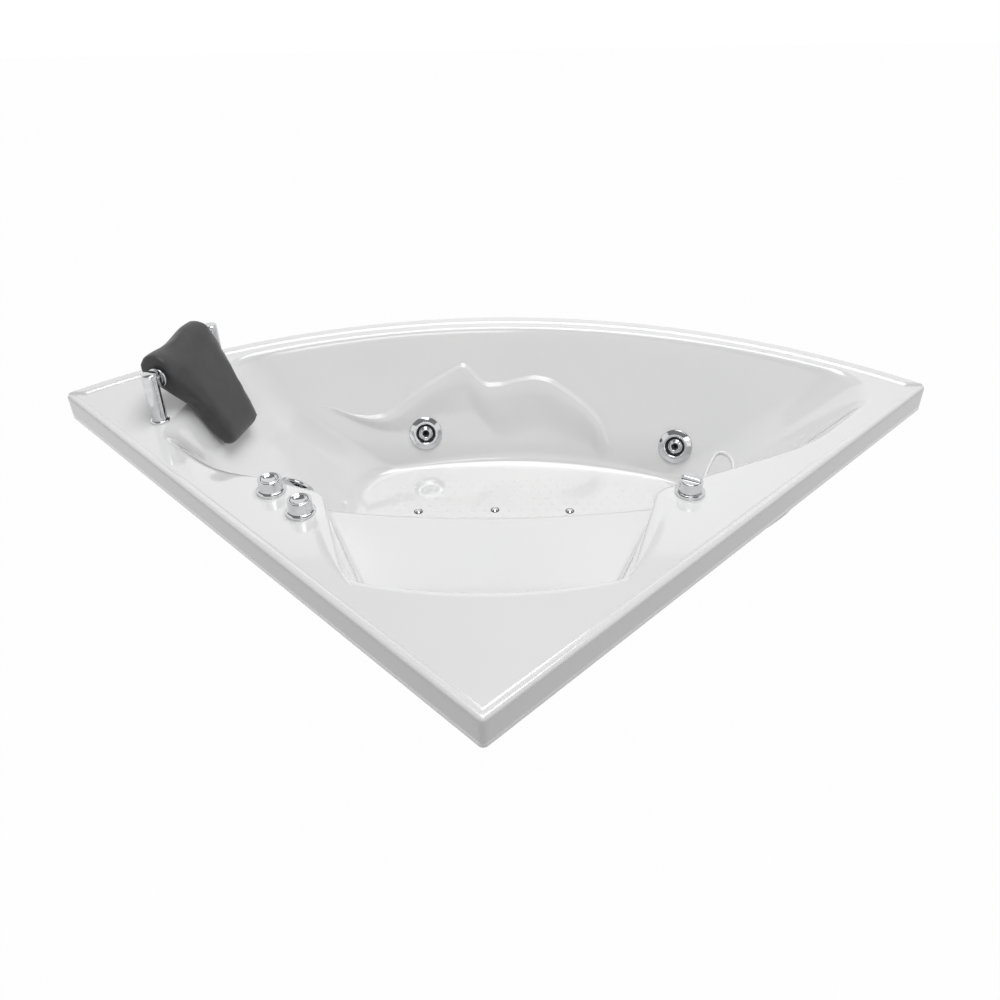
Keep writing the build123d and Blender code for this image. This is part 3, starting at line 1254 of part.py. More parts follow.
def blower_rotor():
    """Fan on its shaft."""
    low = BLOWER_HEIGHT / 2
    rotor = disc(FAN_SHAFT_RADIUS, HOLE_ROOM + SEATED, BLOWER_HEIGHT - HOLE_ROOM - SEATED)
    rotor += disc(FAN_RADIUS, low, low + BLADE) + disc(FAN_HUB, low, low + FAN_BLADE_HEIGHT)
    blade = bar((FAN_HUB - BLADE, FAN_RADIUS - BLADE), (-BLADE / 2, BLADE / 2), (low, low + FAN_BLADE_HEIGHT))
    for turn in PolarLocations(0, FAN_BLADES):
        rotor += turn * blade
    return BLOWER_AT * rotor


# Control box and its air lines

def box_limits():
    x, y = BOX_PLACE
    length, width, height = BOX
    heights = (SHELF_TOP, SHELF_TOP + height)
    return (x - length / 2, x + length / 2), (y - width / 2, y + width / 2), heights


def line_ends():
    """Tops of the two nipples on the box."""
    x, y = BOX_PLACE
    top = box_limits()[2][1] + NIPPLE_LENGTH
    return [Vector(x - LINE_SPREAD, y + shift, top) for shift in (LINE_SPREAD, -LINE_SPREAD)]


def control_box():
    """Box with a gland for the mains lead, and its lid with two air nipples."""
    x_range, y_range, (low, high) = box_limits()
    seam = high - LID_HEIGHT
    inner = [(a + BOX_WALL, b - BOX_WALL) for a, b in (x_range, y_range)]
    case = bar(x_range, y_range, (low, seam)) - bar(*inner, (low + BOX_WALL, seam + BOX_WALL))
    gland = Plane((x_range[0] + BOX_WALL, BOX_PLACE[1], (low + seam) / 2), z_dir=(-1, 0, 0))
    case += extrude(gland * Circle(GLAND_RADIUS), GLAND_LENGTH)
    case -= extrude(gland * Circle(GLAND_BORE), GLAND_LENGTH + BOX_WALL, both=True)
    lid = bar(x_range, y_range, (seam, high)) - bar(*inner, (low, high - BOX_WALL))
    for end in line_ends():
        lid += Pos(end.X, end.Y, high) * tube(NIPPLE_RADIUS, NIPPLE_BORE, 0, NIPPLE_LENGTH)
        lid -= Pos(end.X, end.Y, high) * disc(NIPPLE_BORE, -2 * BOX_WALL, HOLE_ROOM)
    return [case, lid]


def button_lines():
    """Air lines from the two buttons to the box."""
    top = -STEM_DROP - NIPPLE_LENGTH - SEATED
    lines = []
    for place, end, route, rise in zip(BUTTON_PLACES, line_ends(), LINE_ROUTES, LINE_RISES):
        above = [end + Vector(0, 0, rise), end + Vector(0, 0, SEATED)]
        points = [Vector(*place, top)] + [Vector(*p) for p in route] + above
        lines.append(pipe(points, NIPPLE_RADIUS, LINE_WALL, LINE_BEND))
    return lines


# Whole part: node name to its solid or solids, in the work frame

BEZEL, BUTTON, BELLOWS = button_bezel(), push_button(), button_bellows()
MASSAGE_AT, BUBBLE_AT, REGULATOR_AT = DECK_POINTS
FACE, NOZZLE, FITTING, NUT = jet_face(), jet_nozzle(), jet_fitting(), jet_nut()
FIRST_JET, SECOND_JET = (plane.location for plane in JET_PLANES)

NODES = {
    "tub_shell": tub_shell(),
    "base_board": base_board(),
    "frame_rails": frame_rails(),
    "frame_beams": frame_beams(),
    "frame_uprights": frame_uprights(),
    "foot_rods": foot_rods(),
    "foot_nuts": foot_nuts(),
    "foot_pads": foot_pads(),
    "rim_battens": rim_battens(),
    "equipment_shelves": equipment_shelves(),
    "pillow": pillow(),
    "pillow_posts": pillow_posts(),
    "pillow_post_rings": post_rings(),
    "pillow_post_nuts": post_nuts(),
    "pillow_axle": pillow_axle(),
    "pillow_washers": pillow_washers(),
    "pillow_sleeve": pillow_sleeve(),
    "massage_bezel": MASSAGE_AT * BEZEL,
    "massage_button": MASSAGE_AT * BUTTON,
    "massage_bellows": MASSAGE_AT * BELLOWS,
    "bubble_bezel": BUBBLE_AT * BEZEL,
    "bubble_button": BUBBLE_AT * BUTTON,
    "bubble_bellows": BUBBLE_AT * BELLOWS,
    "regulator_base": REGULATOR_AT * regulator_base(),
    "regulator_knob": REGULATOR_AT * regulator_knob(),
    "deck_nuts": deck_nuts(),
    "jet_1_face": FIRST_JET * FACE,
    "jet_1_nozzle": FIRST_JET * NOZZLE,
    "jet_2_face": SECOND_JET * FACE,
    "jet_2_nozzle": SECOND_JET * NOZZLE,
    "jet_fittings": at_jets([FITTING, FITTING]),
    "jet_nuts": at_jets([NUT, NUT]),
    "jet_bodies": at_jets([jet_body([1]), jet_body([1, -1])]),
    "water_pipes": water_pipes(),
    "air_pipes": air_pipes(),
    "air_jet_caps": air_jet_caps(),
    "air_jet_nuts": air_jet_nuts(),
    "air_manifold": air_manifold(),
    "blower_hose": blower_hose(),
    "blower_housing": blower_housing(),
    "blower_rotor": blower_rotor(),
    "suction_cover": suction_cover(),
    "suction_screw": suction_screw(),
    "suction_body": suction_body(),
    "suction_nut": suction_nut(),
    "suction_pipe": suction_pipe(),
    "drain_flange": drain_flange(),
    "drain_plug": drain_plug(),
    "drain_body": drain_body(),
    "drain_trap": drain_trap(),
    "overflow_rosette": overflow_rosette(),
    "overflow_dial": overflow_dial(),
    "overflow_body": overflow_body(),
    "overflow_pipe": overflow_pipe(),
    "pump_volute": pump_volute(),
    "pump_motor": pump_motor(),
    "pump_rotor": pump_rotor(),
    "pump_foot": pump_foot(),
    "control_box": control_box(),
    "button_lines": button_lines(),
}

# The plan's middle comes over the origin, and the feet stand on z = 0
PLAN_NEAR = plan().bounding_box().min.Y
PLACED = Pos(0, -(PLAN_NEAR + SIDE) / 2, RIM_HEIGHT)

os.makedirs("parts", exist_ok=True)
for name, shape in NODES.items():
    solids = shape if isinstance(shape, list) else [shape]
    node = PLACED * Compound(children=[solid for group in solids for solid in group.solids()])
    export_step(node, f"parts/{name}.step")
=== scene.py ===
import json
import math
import bpy
import bmesh
import numpy as np
from mathutils import Matrix, Vector


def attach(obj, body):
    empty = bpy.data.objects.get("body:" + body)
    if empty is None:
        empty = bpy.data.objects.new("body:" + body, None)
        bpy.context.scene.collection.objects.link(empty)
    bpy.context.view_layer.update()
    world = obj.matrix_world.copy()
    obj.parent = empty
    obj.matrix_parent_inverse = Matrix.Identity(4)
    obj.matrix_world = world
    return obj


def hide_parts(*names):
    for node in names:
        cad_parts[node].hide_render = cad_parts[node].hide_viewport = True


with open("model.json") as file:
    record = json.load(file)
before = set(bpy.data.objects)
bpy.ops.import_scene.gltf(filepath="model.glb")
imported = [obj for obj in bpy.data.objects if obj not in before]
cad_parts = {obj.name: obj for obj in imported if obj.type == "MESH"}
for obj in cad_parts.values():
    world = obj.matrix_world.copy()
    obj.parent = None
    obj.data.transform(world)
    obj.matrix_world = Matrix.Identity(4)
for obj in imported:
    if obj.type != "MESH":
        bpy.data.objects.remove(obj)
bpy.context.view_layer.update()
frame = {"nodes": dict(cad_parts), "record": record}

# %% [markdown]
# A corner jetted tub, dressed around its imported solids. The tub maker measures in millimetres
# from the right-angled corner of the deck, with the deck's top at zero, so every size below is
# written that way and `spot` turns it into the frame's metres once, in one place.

CORNER_BEHIND = 702.071
RIM_HEIGHT = 560.0


def spot(points):
    """Points in the tub maker's millimetres as metres in the frame."""
    shifted = np.asarray(points, float) + (0.0, -CORNER_BEHIND, RIM_HEIGHT)
    return shifted / 1000.0


# %% [markdown]
# The photograph looks down on the tub from in front of its corner. A camera is only a place, a
# direction and a lens, so it is built from three angles instead of being moved by eye: the same
# numbers always give the same view, and a small roll is one more turn about the line of sight.

# %% Camera
CAMERA_PLACE = Vector((0.0476, -1.5673, 1.5372))
YAW, PITCH, ROLL = (math.radians(a) for a in (-1.1, 34.7, -1.1))
ahead = Vector((math.sin(YAW) * math.cos(PITCH), math.cos(YAW) * math.cos(PITCH), -math.sin(PITCH)))
level = Vector((math.cos(YAW), -math.sin(YAW), 0.0))
above = level.cross(ahead)
right_way = level * math.cos(ROLL) + above * math.sin(ROLL)
up_way = above * math.cos(ROLL) - level * math.sin(ROLL)
camera_data = bpy.data.cameras.new("photo_camera")
camera_data.sensor_width = 36.0
camera_data.lens = 32.6
camera = bpy.data.objects.new("photo_camera", camera_data)
camera_turn = Matrix((right_way, up_way, -ahead)).transposed().to_4x4()
camera.matrix_world = Matrix.Translation(CAMERA_PLACE) @ camera_turn
bpy.context.scene.collection.objects.link(camera)
bpy.context.scene.camera = camera
print("camera looks", tuple(round(v, 3) for v in ahead))

# %% [markdown]
# White acrylic shows its form by soft changes of grey, so the light comes from large lamps: one
# overhead that makes the deck the brightest surface, one behind the camera to open the basin.
# The floor and the world are white only to the camera and to reflections; the light that they
# give stays plain, so the skirt keeps its grey and the floor keeps the tub's shadow. A photographer
# also hangs a dark cloth, a flag, over a glossy object. Here it lies above the lamp and gives the
# deck and the chrome something darker than the white room to reflect. The cloth also glows faintly
# white, as painted light, so that it reflects as a dark grey and not as black.

# %% Light, floor and backdrop
def lamp(name, place, aim, size, power):
    data = bpy.data.lights.new(name, "AREA")
    data.shape = "RECTANGLE"
    data.size, data.size_y = size
    data.energy = power
    made = bpy.data.objects.new(name, data)
    made.location = place
    made.rotation_euler = (Vector(aim) - Vector(place)).to_track_quat("-Z", "Y").to_euler()
    bpy.context.scene.collection.objects.link(made)
    return made


def seen_share(nodes, links, path):
    """1 for rays from the camera, a reflection or clear glass, and 0 for rays that carry light."""
    first, both = nodes.new("ShaderNodeMath"), nodes.new("ShaderNodeMath")
    first.operation = both.operation = "MAXIMUM"
    links.new(path.outputs["Is Camera Ray"], first.inputs[0])
    links.new(path.outputs["Is Glossy Ray"], first.inputs[1])
    links.new(first.outputs[0], both.inputs[0])
    links.new(path.outputs["Is Transmission Ray"], both.inputs[1])
    return both.outputs[0]


OVERHEAD_WATTS = 59.0
NEAR_WATTS = 9.0
lamp("overhead_lamp", (0.2, 0.1, 3.2), (0.0, 0.1, 0.5), (2.6, 1.5), OVERHEAD_WATTS)
lamp("near_lamp", (0.6, -2.6, 2.9), (0.0, 0.3, 0.3), (1.6, 0.6), NEAR_WATTS)

PLAIN_SKY = 0.37
world = bpy.data.worlds.new("studio")
bpy.context.scene.world = world
world.use_nodes = True
world_nodes, world_links = world.node_tree.nodes, world.node_tree.links
world_nodes.clear()
sky_out = world_nodes.new("ShaderNodeOutputWorld")
sky_plain = world_nodes.new("ShaderNodeBackground")
sky_plain.inputs["Color"].default_value = (1.0, 1.0, 1.0, 1.0)
sky_plain.inputs["Strength"].default_value = PLAIN_SKY
sky_white = world_nodes.new("ShaderNodeBackground")
sky_white.inputs["Color"].default_value = (1.0, 1.0, 1.0, 1.0)
sky_path = world_nodes.new("ShaderNodeLightPath")
sky_mix = world_nodes.new("ShaderNodeMixShader")
seen = seen_share(world_nodes, world_links, sky_path)
world_links.new(seen, sky_mix.inputs["Fac"])
world_links.new(sky_plain.outputs[0], sky_mix.inputs[1])
world_links.new(sky_white.outputs[0], sky_mix.inputs[2])
world_links.new(sky_mix.outputs[0], sky_out.inputs["Surface"])

floor_mesh = bpy.data.meshes.new("floor")
floor_mesh.from_pydata([(-9, -9, 0), (9, -9, 0), (9, 9, 0), (-9, 9, 0)], [], [(0, 1, 2, 3)])
floor = bpy.data.objects.new("floor", floor_mesh)
floor.location.z = -0.001
bpy.context.scene.collection.objects.link(floor)
floor_material = bpy.data.materials.new("floor_paper")
floor_material.use_nodes = True
paper_nodes, paper_links = floor_material.node_tree.nodes, floor_material.node_tree.links
paper = paper_nodes["Principled BSDF"]
paper.inputs["Base Color"].default_value = (0.45, 0.45, 0.45, 1.0)
paper.inputs["Roughness"].default_value = 0.9
paper_light = paper_nodes.new("ShaderNodeEmission")
paper_path = paper_nodes.new("ShaderNodeLightPath")
paper_share = paper_nodes.new("ShaderNodeMath")
paper_share.operation = "MULTIPLY"
paper_share.inputs[1].default_value = 0.985
paper_mix = paper_nodes.new("ShaderNodeMixShader")
paper_links.new(seen_share(paper_nodes, paper_links, paper_path), paper_share.inputs[0])
paper_links.new(paper_share.outputs[0], paper_mix.inputs["Fac"])
paper_links.new(paper.outputs[0], paper_mix.inputs[1])
paper_links.new(paper_light.outputs[0], paper_mix.inputs[2])
paper_links.new(paper_mix.outputs[0], paper_nodes["Material Output"].inputs["Surface"])
floor_mesh.materials.append(floor_material)

FLAG_CORNERS = [(-3.6, -3.2, 3.5), (3.6, -3.2, 3.5), (3.6, 3.4, 3.5), (-3.6, 3.4, 3.5)]
flag_mesh = bpy.data.meshes.new("overhead_flag")
flag_mesh.from_pydata(FLAG_CORNERS, [], [(0, 1, 2, 3)])
flag = bpy.data.objects.new("overhead_flag", flag_mesh)
bpy.context.scene.collection.objects.link(flag)
flag_material = bpy.data.materials.new("glowing_flag_cloth")
flag_material.use_nodes = True
glowing_flag_cloth = flag_material.node_tree.nodes["Principled BSDF"]
glowing_flag_cloth.inputs["Base Color"].default_value = (0.05, 0.05, 0.05, 1.0)
glowing_flag_cloth.inputs["Roughness"].default_value = 0.95
# Painted light: the dark cloth glows faintly white as if lit, so that its reflection is dark grey
glowing_flag_cloth.inputs["Emission Color"].default_value = (1.0, 1.0, 1.0, 1.0)
glowing_flag_cloth.inputs["Emission Strength"].default_value = 0.22
flag_mesh.materials.append(flag_material)
bpy.context.scene.view_settings.view_transform = "Standard"
print("lamps", len(bpy.data.lights))

# %% [markdown]
# Nearly every finish here is a plain surface with small faults: a colour that drifts a little, a
# gloss that is not quite even and a skin that is not quite flat. One helper makes that surface
# from two noise fields, and each finish then sets its own scale, so no surface is one flat colour.

# %% Finish helper
def finish(name, light, dark, grain, roughness, metallic=0.0, bump=0.1, bump_grain=None, stretch=(1, 1, 1)):
    """Material whose colour drifts between two tones; roughness is (low, high) and grains are per metre."""
    made = bpy.data.materials.new(name)
    made.use_nodes = True
    nodes, links = made.node_tree.nodes, made.node_tree.links
    shader = nodes["Principled BSDF"]
    shader.inputs["Metallic"].default_value = metallic
    place = nodes.new("ShaderNodeTexCoord")
    scale = nodes.new("ShaderNodeMapping")
    scale.inputs["Scale"].default_value = stretch
    links.new(place.outputs["Object"], scale.inputs["Vector"])
    drift = nodes.new("ShaderNodeTexNoise")
    drift.inputs["Scale"].default_value = grain
    drift.inputs["Detail"].default_value = 4.0
    links.new(scale.outputs[0], drift.inputs["Vector"])
    tones = nodes.new("ShaderNodeValToRGB")
    tones.color_ramp.elements[0].position = 0.3
    tones.color_ramp.elements[0].color = (*dark, 1.0)
    tones.color_ramp.elements[1].position = 0.7
    tones.color_ramp.elements[1].color = (*light, 1.0)
    links.new(drift.outputs["Fac"], tones.inputs["Fac"])
    links.new(tones.outputs["Color"], shader.inputs["Base Color"])
    gloss = nodes.new("ShaderNodeMapRange")
    gloss.inputs["To Min"].default_value, gloss.inputs["To Max"].default_value = roughness
    links.new(drift.outputs["Fac"], gloss.inputs["Value"])
    links.new(gloss.outputs["Result"], shader.inputs["Roughness"])
    skin = nodes.new("ShaderNodeTexNoise")
    skin.inputs["Scale"].default_value = bump_grain or grain * 8
    skin.inputs["Detail"].default_value = 3.0
    links.new(scale.outputs[0], skin.inputs["Vector"])
    relief = nodes.new("ShaderNodeBump")
    relief.inputs["Strength"].default_value = bump
    relief.inputs["Distance"].default_value = 0.001
    links.new(skin.outputs["Fac"], relief.inputs["Height"])
    links.new(relief.outputs["Normal"], shader.inputs["Normal"])
    return made


def part_of(material, kind):
    return next(n for n in material.node_tree.nodes if n.bl_idname == kind)


acrylic = finish(
    "gloss_acrylic", (0.80, 0.80, 0.797), (0.772, 0.774, 0.775), 2.5, (0.10, 0.16), bump=0.05, bump_grain=18)
shine = part_of(acrylic, "ShaderNodeBsdfPrincipled")
shine.inputs["Coat Weight"].default_value = 0.9
shine.inputs["Coat Roughness"].default_value = 0.045
shine.inputs["IOR"].default_value = 1.49
chrome = finish(
    "polished_chrome", (0.70, 0.71, 0.72), (0.60, 0.61, 0.62), 60, (0.04, 0.10),
    metallic=1.0, bump=0.02, bump_grain=300)
# Real rubber for the feet, also used for the dark fills that paint shade in the jets and round the air caps
rubber = finish(
    "rubber_and_gap_shade", (0.055, 0.055, 0.056), (0.032, 0.032, 0.033), 60, (0.65, 0.85), bump=0.5, bump_grain=500)
print("first finishes", acrylic.name, chrome.name, rubber.name)

# %% [markdown]
# The shell is one heated sheet of acrylic drawn into a mould. In mesh code such a sheet is a grid:
# columns run round the tub, rows run from the skirt over the deck and down the wall to the floor.
# The grid needs the same outlines as the mould, so they are written as corners with a radius, and
# a side between two corners may be an arc through a bend point.

# %% Outlines of the mould
SIDE = 1400.0
DIAGONAL = math.sqrt(0.5)
SKIRT = 59.0
PLAN_ROUND = 10.0
SEAT_LEVEL = -140.0
FLOOR_LEVEL = -336.0


def beside(along, inset, side):
    """Plan point a distance along a straight side and in from it; side is 1 right, -1 left."""
    return side * DIAGONAL * (along - inset), DIAGONAL * (along + inset)


def on_radius(radius, x):
    return x, math.sqrt(radius ** 2 - x ** 2)


RIM = [
    (*beside(1343, 60, 1), 115), on_radius(1340, 100), (*on_radius(1340, -632), 90), (-693, 795, 75),
    (*beside(905, 88, -1), 250), (*beside(640, 182, -1), 55),
    (*beside(640, 182, 1), 55), (*beside(1000, 66, 1), 500),
]
MIDDLE = [
    (762, 1022, 130), (100, 1279), (-552, 1152, 100), (-618, 818, 75), (-487, 742, 150),
    (-365, 727, 60), (365, 727, 60), (585, 794, 340),
]
FLOOR = [
    (*on_radius(1203, 560), 150), on_radius(1203, 100), (*on_radius(1203, -350), 130), (-352, 860, 60),
    (-330, 810, 60), (-290, 780, 60), (340, 780, 60), (480, 850, 120),
]


def with_seat(level, seat, back):
    return level[:6] + [(-seat[0], seat[1], seat[2]), (0, back), seat] + level[6:]


def with_front(level, front):
    return level[:6] + [(0, front)] + level[6:]


def deck_edge(depth):
    """The deck's outline at a depth in from its edge."""
    side, radius = depth * math.sqrt(2), SIDE - depth
    x = (-side + math.sqrt(2 * radius ** 2 - side ** 2)) / 2
    small = max(PLAN_ROUND - depth, 3.0)
    return [(0.0, side, small), (x, x + side, small), (0.0, radius), (-x, x + side, small)]


print("rim corners", len(RIM), "deck tip at", tuple(round(v, 1) for v in deck_edge(0)[1][:2]))

# %% [markdown]
# A fillet is a circle that touches both sides of a corner. Its centre is where the two sides meet
# once both have been moved in by the radius, which works for a line and for an arc alike. Every
# outline becomes a list of runs, a fillet and then a side, so the same run and share of it names
# the matching place on every level of the tub.

# %% Rounded runs
def circle_through(a, b, c):
    squares = [p[0] ** 2 + p[1] ** 2 for p in (a, b, c)]
    d = 2 * (a[0] * (b[1] - c[1]) + b[0] * (c[1] - a[1]) + c[0] * (a[1] - b[1]))
    x = (squares[0] * (b[1] - c[1]) + squares[1] * (c[1] - a[1]) + squares[2] * (a[1] - b[1])) / d
    y = (squares[0] * (c[0] - b[0]) + squares[1] * (a[0] - c[0]) + squares[2] * (b[0] - a[0])) / d
    return np.array((x, y))


def left_of(way):
    return np.array((-way[1], way[0]))


def side_data(start, bend, end):
    start, end = np.array(start[:2], float), np.array(end[:2], float)
    if bend is None:
        return {"start": start, "end": end, "way": (end - start) / np.linalg.norm(end - start)}
    centre = circle_through(start, bend, end)
    chord = end - start
    hand = 1.0 if np.dot(centre - start, left_of(chord)) > 0 else -1.0
    radius = np.linalg.norm(start - centre)
    return {"start": start, "end": end, "centre": centre, "radius": radius, "hand": hand}


def way_at(side, point):
    if "way" in side:
        return side["way"]
    spoke = (point - side["centre"]) / side["radius"]
    return left_of(spoke) * side["hand"]


def foot_on(side, point):
    if "way" in side:
        return side["start"] + side["way"] * np.dot(point - side["start"], side["way"])
    spoke = point - side["centre"]
    return side["centre"] + spoke * side["radius"] / np.linalg.norm(spoke)


def meeting(first, second, shift, near):
    """Where two sides meet once both are moved left by the shift."""
    lines = [s for s in (first, second) if "way" in s]
    if len(lines) == 2:
        a, b = (s["start"] + left_of(s["way"]) * shift for s in lines)
        u, v = (s["way"] for s in lines)
        share = ((b - a)[0] * v[1] - (b - a)[1] * v[0]) / (u[0] * v[1] - u[1] * v[0])
        return a + u * share
    line, arc = (first, second) if "way" in first else (second, first)
    a = line["start"] + left_of(line["way"]) * shift
    radius = arc["radius"] - arc["hand"] * shift
    middle = a + line["way"] * np.dot(arc["centre"] - a, line["way"])
    reach = math.sqrt(max(radius ** 2 - np.sum((middle - arc["centre"]) ** 2), 0.0))
    both = (middle + line["way"] * reach, middle - line["way"] * reach)
    return min(both, key=lambda point: np.linalg.norm(point - near))


def arc_run(centre, start, end, hand):
    first = math.atan2(*(start - centre)[::-1])
    sweep = (math.atan2(*(end - centre)[::-1]) - first) * hand % (2 * math.pi) * hand
    return {"centre": centre, "radius": np.linalg.norm(start - centre), "first": first, "sweep": sweep,
            "length": abs(sweep) * np.linalg.norm(start - centre)}


def rounded(corners):
    """Runs of an outline: the fillet of each corner, then the side after it."""
    count = len(corners)
    points = [np.array(c[:2], float) for c in corners if len(c) == 3]
    radii = [c[2] for c in corners if len(c) == 3]
    sides = []
    for i, corner in enumerate(corners):
        if len(corner) == 2:
            continue
        after = corners[(i + 1) % count]
        if len(after) == 2:
            sides.append(side_data(corner, after, corners[(i + 2) % count]))
        else:
            sides.append(side_data(corner, None, after))
    fillets = []
    for i, (point, radius) in enumerate(zip(points, radii)):
        before, after = sides[i - 1], sides[i]
        way_in, way_out = way_at(before, point), way_at(after, point)
        hand = 1.0 if way_in[0] * way_out[1] - way_in[1] * way_out[0] > 0 else -1.0
        centre = meeting(before, after, hand * radius, point)
        fillets.append(arc_run(centre, foot_on(before, centre), foot_on(after, centre), hand))
    runs = []
    for i, side in enumerate(sides):
        start, end = place_on(fillets[i], 1.0), place_on(fillets[(i + 1) % len(fillets)], 0.0)
        runs.append(fillets[i])
        if "way" in side:
            runs.append({"start": start, "step": end - start, "length": np.linalg.norm(end - start)})
        else:
            runs.append(arc_run(side["centre"], start, end, side["hand"]))
    return runs


def place_on(run, share):
    if "step" in run:
        return run["start"] + run["step"] * share
    angle = run["first"] + run["sweep"] * share
    return run["centre"] + run["radius"] * np.array((math.cos(angle), math.sin(angle)))


rim = rounded(with_seat(RIM, (246, 320, 45), 283))
seat = rounded(with_seat(MIDDLE, (205, 372, 60), 345))
ledge_line = rounded(with_front(MIDDLE, 694))
foot_line = rounded(with_front(FLOOR, 770))
print("runs", len(rim), len(ledge_line), "rim is", round(sum(r["length"] for r in rim)), "mm round")

# %% [markdown]
# Columns are spread over the rim by run: fine where the wall carries a moulded line, coarse on
# plain stretches. Each column also needs its place on the deck's outer edge, on the seat's front
# and on the floor, so a few pairs of matching places are named and the rest is shared out by length.

# %% Columns
RUN_COLUMNS = [26, 300, 22, 40, 12, 8, 22, 22, 16, 26, 12, 50, 12, 26, 16, 14, 60, 30]
columns = [(run, (i + 0.5) / count) for run, count in enumerate(RUN_COLUMNS) for i in range(count)]


def distance(runs, run, share):
    return sum(r["length"] for r in runs[:run]) + runs[run]["length"] * share


def walked(runs, reach):
    """The run and share at a distance along an outline."""
    reach %= sum(r["length"] for r in runs)
    for i, run in enumerate(runs):
        if reach <= run["length"] or i == len(runs) - 1:
            return i, min(reach / run["length"], 1.0)
        reach -= run["length"]


edge = rounded(deck_edge(0))
# Runs of the deck's edge: corner fillet, right side, right tip, curved side, left tip, left side
PAIRS = [
    ((0, 0.35), (2, 0.0)), ((0, 0.65), (2, 1.0)), ((0, 1.0), (3, 0.09)), ((2, 0.0), (3, 0.82)),
    ((2, 1.0), (3, 0.90)), ((3, 0.40), (4, 0.0)), ((3, 0.60), (4, 1.0)), ((4, 0.5), (5, 0.19)),
    ((6, 0.5), (5, 0.35)), ((8, 0.5), (5, 0.544)), ((10, 0.5), (5, 0.773)),
    ((11, 0.41), (5, 1.0)), ((11, 0.59), (6, 1.0)), ((12, 0.5), (7, 0.227)),
    ((14, 0.5), (7, 0.456)), ((16, 0.5), (7, 0.721)), ((17, 1.0), (7, 0.93)),
]
edge_loop = edge + edge
rim_marks = [distance(rim, *a) for a, _ in PAIRS]
edge_marks = [distance(edge_loop, *b) for _, b in PAIRS]
rim_round, edge_round = sum(r["length"] for r in rim), sum(r["length"] for r in edge)
rim_marks = [rim_marks[-1] - rim_round] + rim_marks + [rim_marks[0] + rim_round]
edge_marks = [edge_marks[-1] - edge_round] + edge_marks + [edge_marks[0] + edge_round]
on_edge = [walked(edge, np.interp(distance(rim, *c), rim_marks, edge_marks)) for c in columns]

SEAT_RUNS, FRONT_RUNS = range(8, 15), range(8, 11)
seat_start, seat_length = distance(seat, 8, 0.0), sum(seat[i]["length"] for i in SEAT_RUNS)
front_start, front_length = distance(ledge_line, 8, 0.0), sum(ledge_line[i]["length"] for i in FRONT_RUNS)


def below_seat(run, share):
    """The matching run and share on the outlines that have the seat's front instead of the seat."""
    if run < 8:
        return run, share
    if run > 14:
        return run - 4, share
    reach = front_length * (distance(seat, run, share) - seat_start) / seat_length
    return walked(ledge_line, front_start + reach)


on_front = [below_seat(*c) for c in columns]
print("columns", len(columns), "deck edge", round(edge_round), "mm")

# %% [markdown]
# Down each column the sheet is a bent line: deck, wall, seat, front, wall, floor. A mould has no
# sharp bends, so the line is averaged over a sliding window, which turns each corner into a soft
# bend as wide as the window and never folds, even where the seat narrows to nothing at its ends.

# %% Profile down one column
DECK_START = 40.0
FLOOR_MIDDLE = np.array((60.0, 985.0, FLOOR_LEVEL))


def smooth(low, high, value):
    share = np.clip((np.asarray(value, float) - low) / (high - low), 0.0, 1.0)
    return share * share * (3 - 2 * share)


def softened(points, windows, stops):
    """The bent line at the given distances, averaged over windows that change from point to point."""
    lengths = np.linalg.norm(np.diff(points, axis=0), axis=1)
    marks = np.concatenate(([0.0], np.cumsum(lengths)))
    fine = np.arange(-60.0, marks[-1] + 60.0, 1.0)
    spots = np.empty((len(fine), 3))
    safe = marks + np.arange(len(marks)) * 1e-6
    for axis in range(3):
        spots[:, axis] = np.interp(fine, safe, points[:, axis])
    start_way = (points[1] - points[0]) / lengths[0]
    end_way = (points[-1] - points[-2]) / lengths[-1]
    spots[fine < 0] = points[0] + np.outer(fine[fine < 0], start_way)
    spots[fine > marks[-1]] = points[-1] + np.outer(fine[fine > marks[-1]] - marks[-1], end_way)
    summed = np.vstack((np.zeros(3), np.cumsum((spots[1:] + spots[:-1]) / 2, axis=0)))
    widths = np.interp(stops, safe, windows)
    result = np.empty((len(stops), 3))
    for axis in range(3):
        high = np.interp(stops + widths / 2, fine, summed[:, axis])
        low = np.interp(stops - widths / 2, fine, summed[:, axis])
        result[:, axis] = (high - low) / widths
    return result


def spread(*parts):
    """Distances from (start, end, count) stretches, each without its last one."""
    return np.concatenate([np.linspace(a, b, n, endpoint=False) for a, b, n in parts])


square_bend = np.array([(0, 0, 0), (100, 0, 0), (100, 100, 0)], float)
soft_bend = softened(square_bend, [2, 40, 2], np.array([60.0, 100.0, 140.0]))
print("a square bend, softened", soft_bend.round(1).tolist())

# %% [markdown]
# The far wall carries one moulded line, like the outline of two hills: the wall below it stands
# proud by a finger's width with a rounded top that catches the light. Its height is written by
# direction from the deck's corner, and the rows of the grid are bent to follow it, so the rounded
# top stays clean instead of being cut into steps.

# %% Moulded line on the far wall
HILL_LINE = [
    (-20.4, -154), (-19.2, -183), (-17.6, -195), (-15.7, -195), (-13.5, -182), (-10.7, -157), (-7.5, -126),
    (-5.0, -100), (-3.75, -86), (-3.1, -103), (-2.3, -127), (-1.4, -141), (0.4, -139), (2.3, -128),
    (4.3, -120), (6.3, -128), (9.1, -158), (11.6, -187), (13.7, -215), (15.4, -248), (17.0, -276),
]
HILL_TURNS, HILL_HEIGHTS = zip(*HILL_LINE)
HILL_PROUD = 10.5


def hill(turn):
    """Height of the moulded line and how proud it stands, in a direction in degrees."""
    near = turn + np.array((-0.5, -0.25, 0.0, 0.25, 0.5))
    height = np.interp(near, HILL_TURNS, HILL_HEIGHTS).mean()
    proud = HILL_PROUD * smooth(-21.5, -17.0, turn) * (1.0 - smooth(14.0, 18.0, turn))
    return height, proud


print("line at the left hill", round(float(hill(-3.75)[0])), "and between", round(float(hill(0.4)[0])))

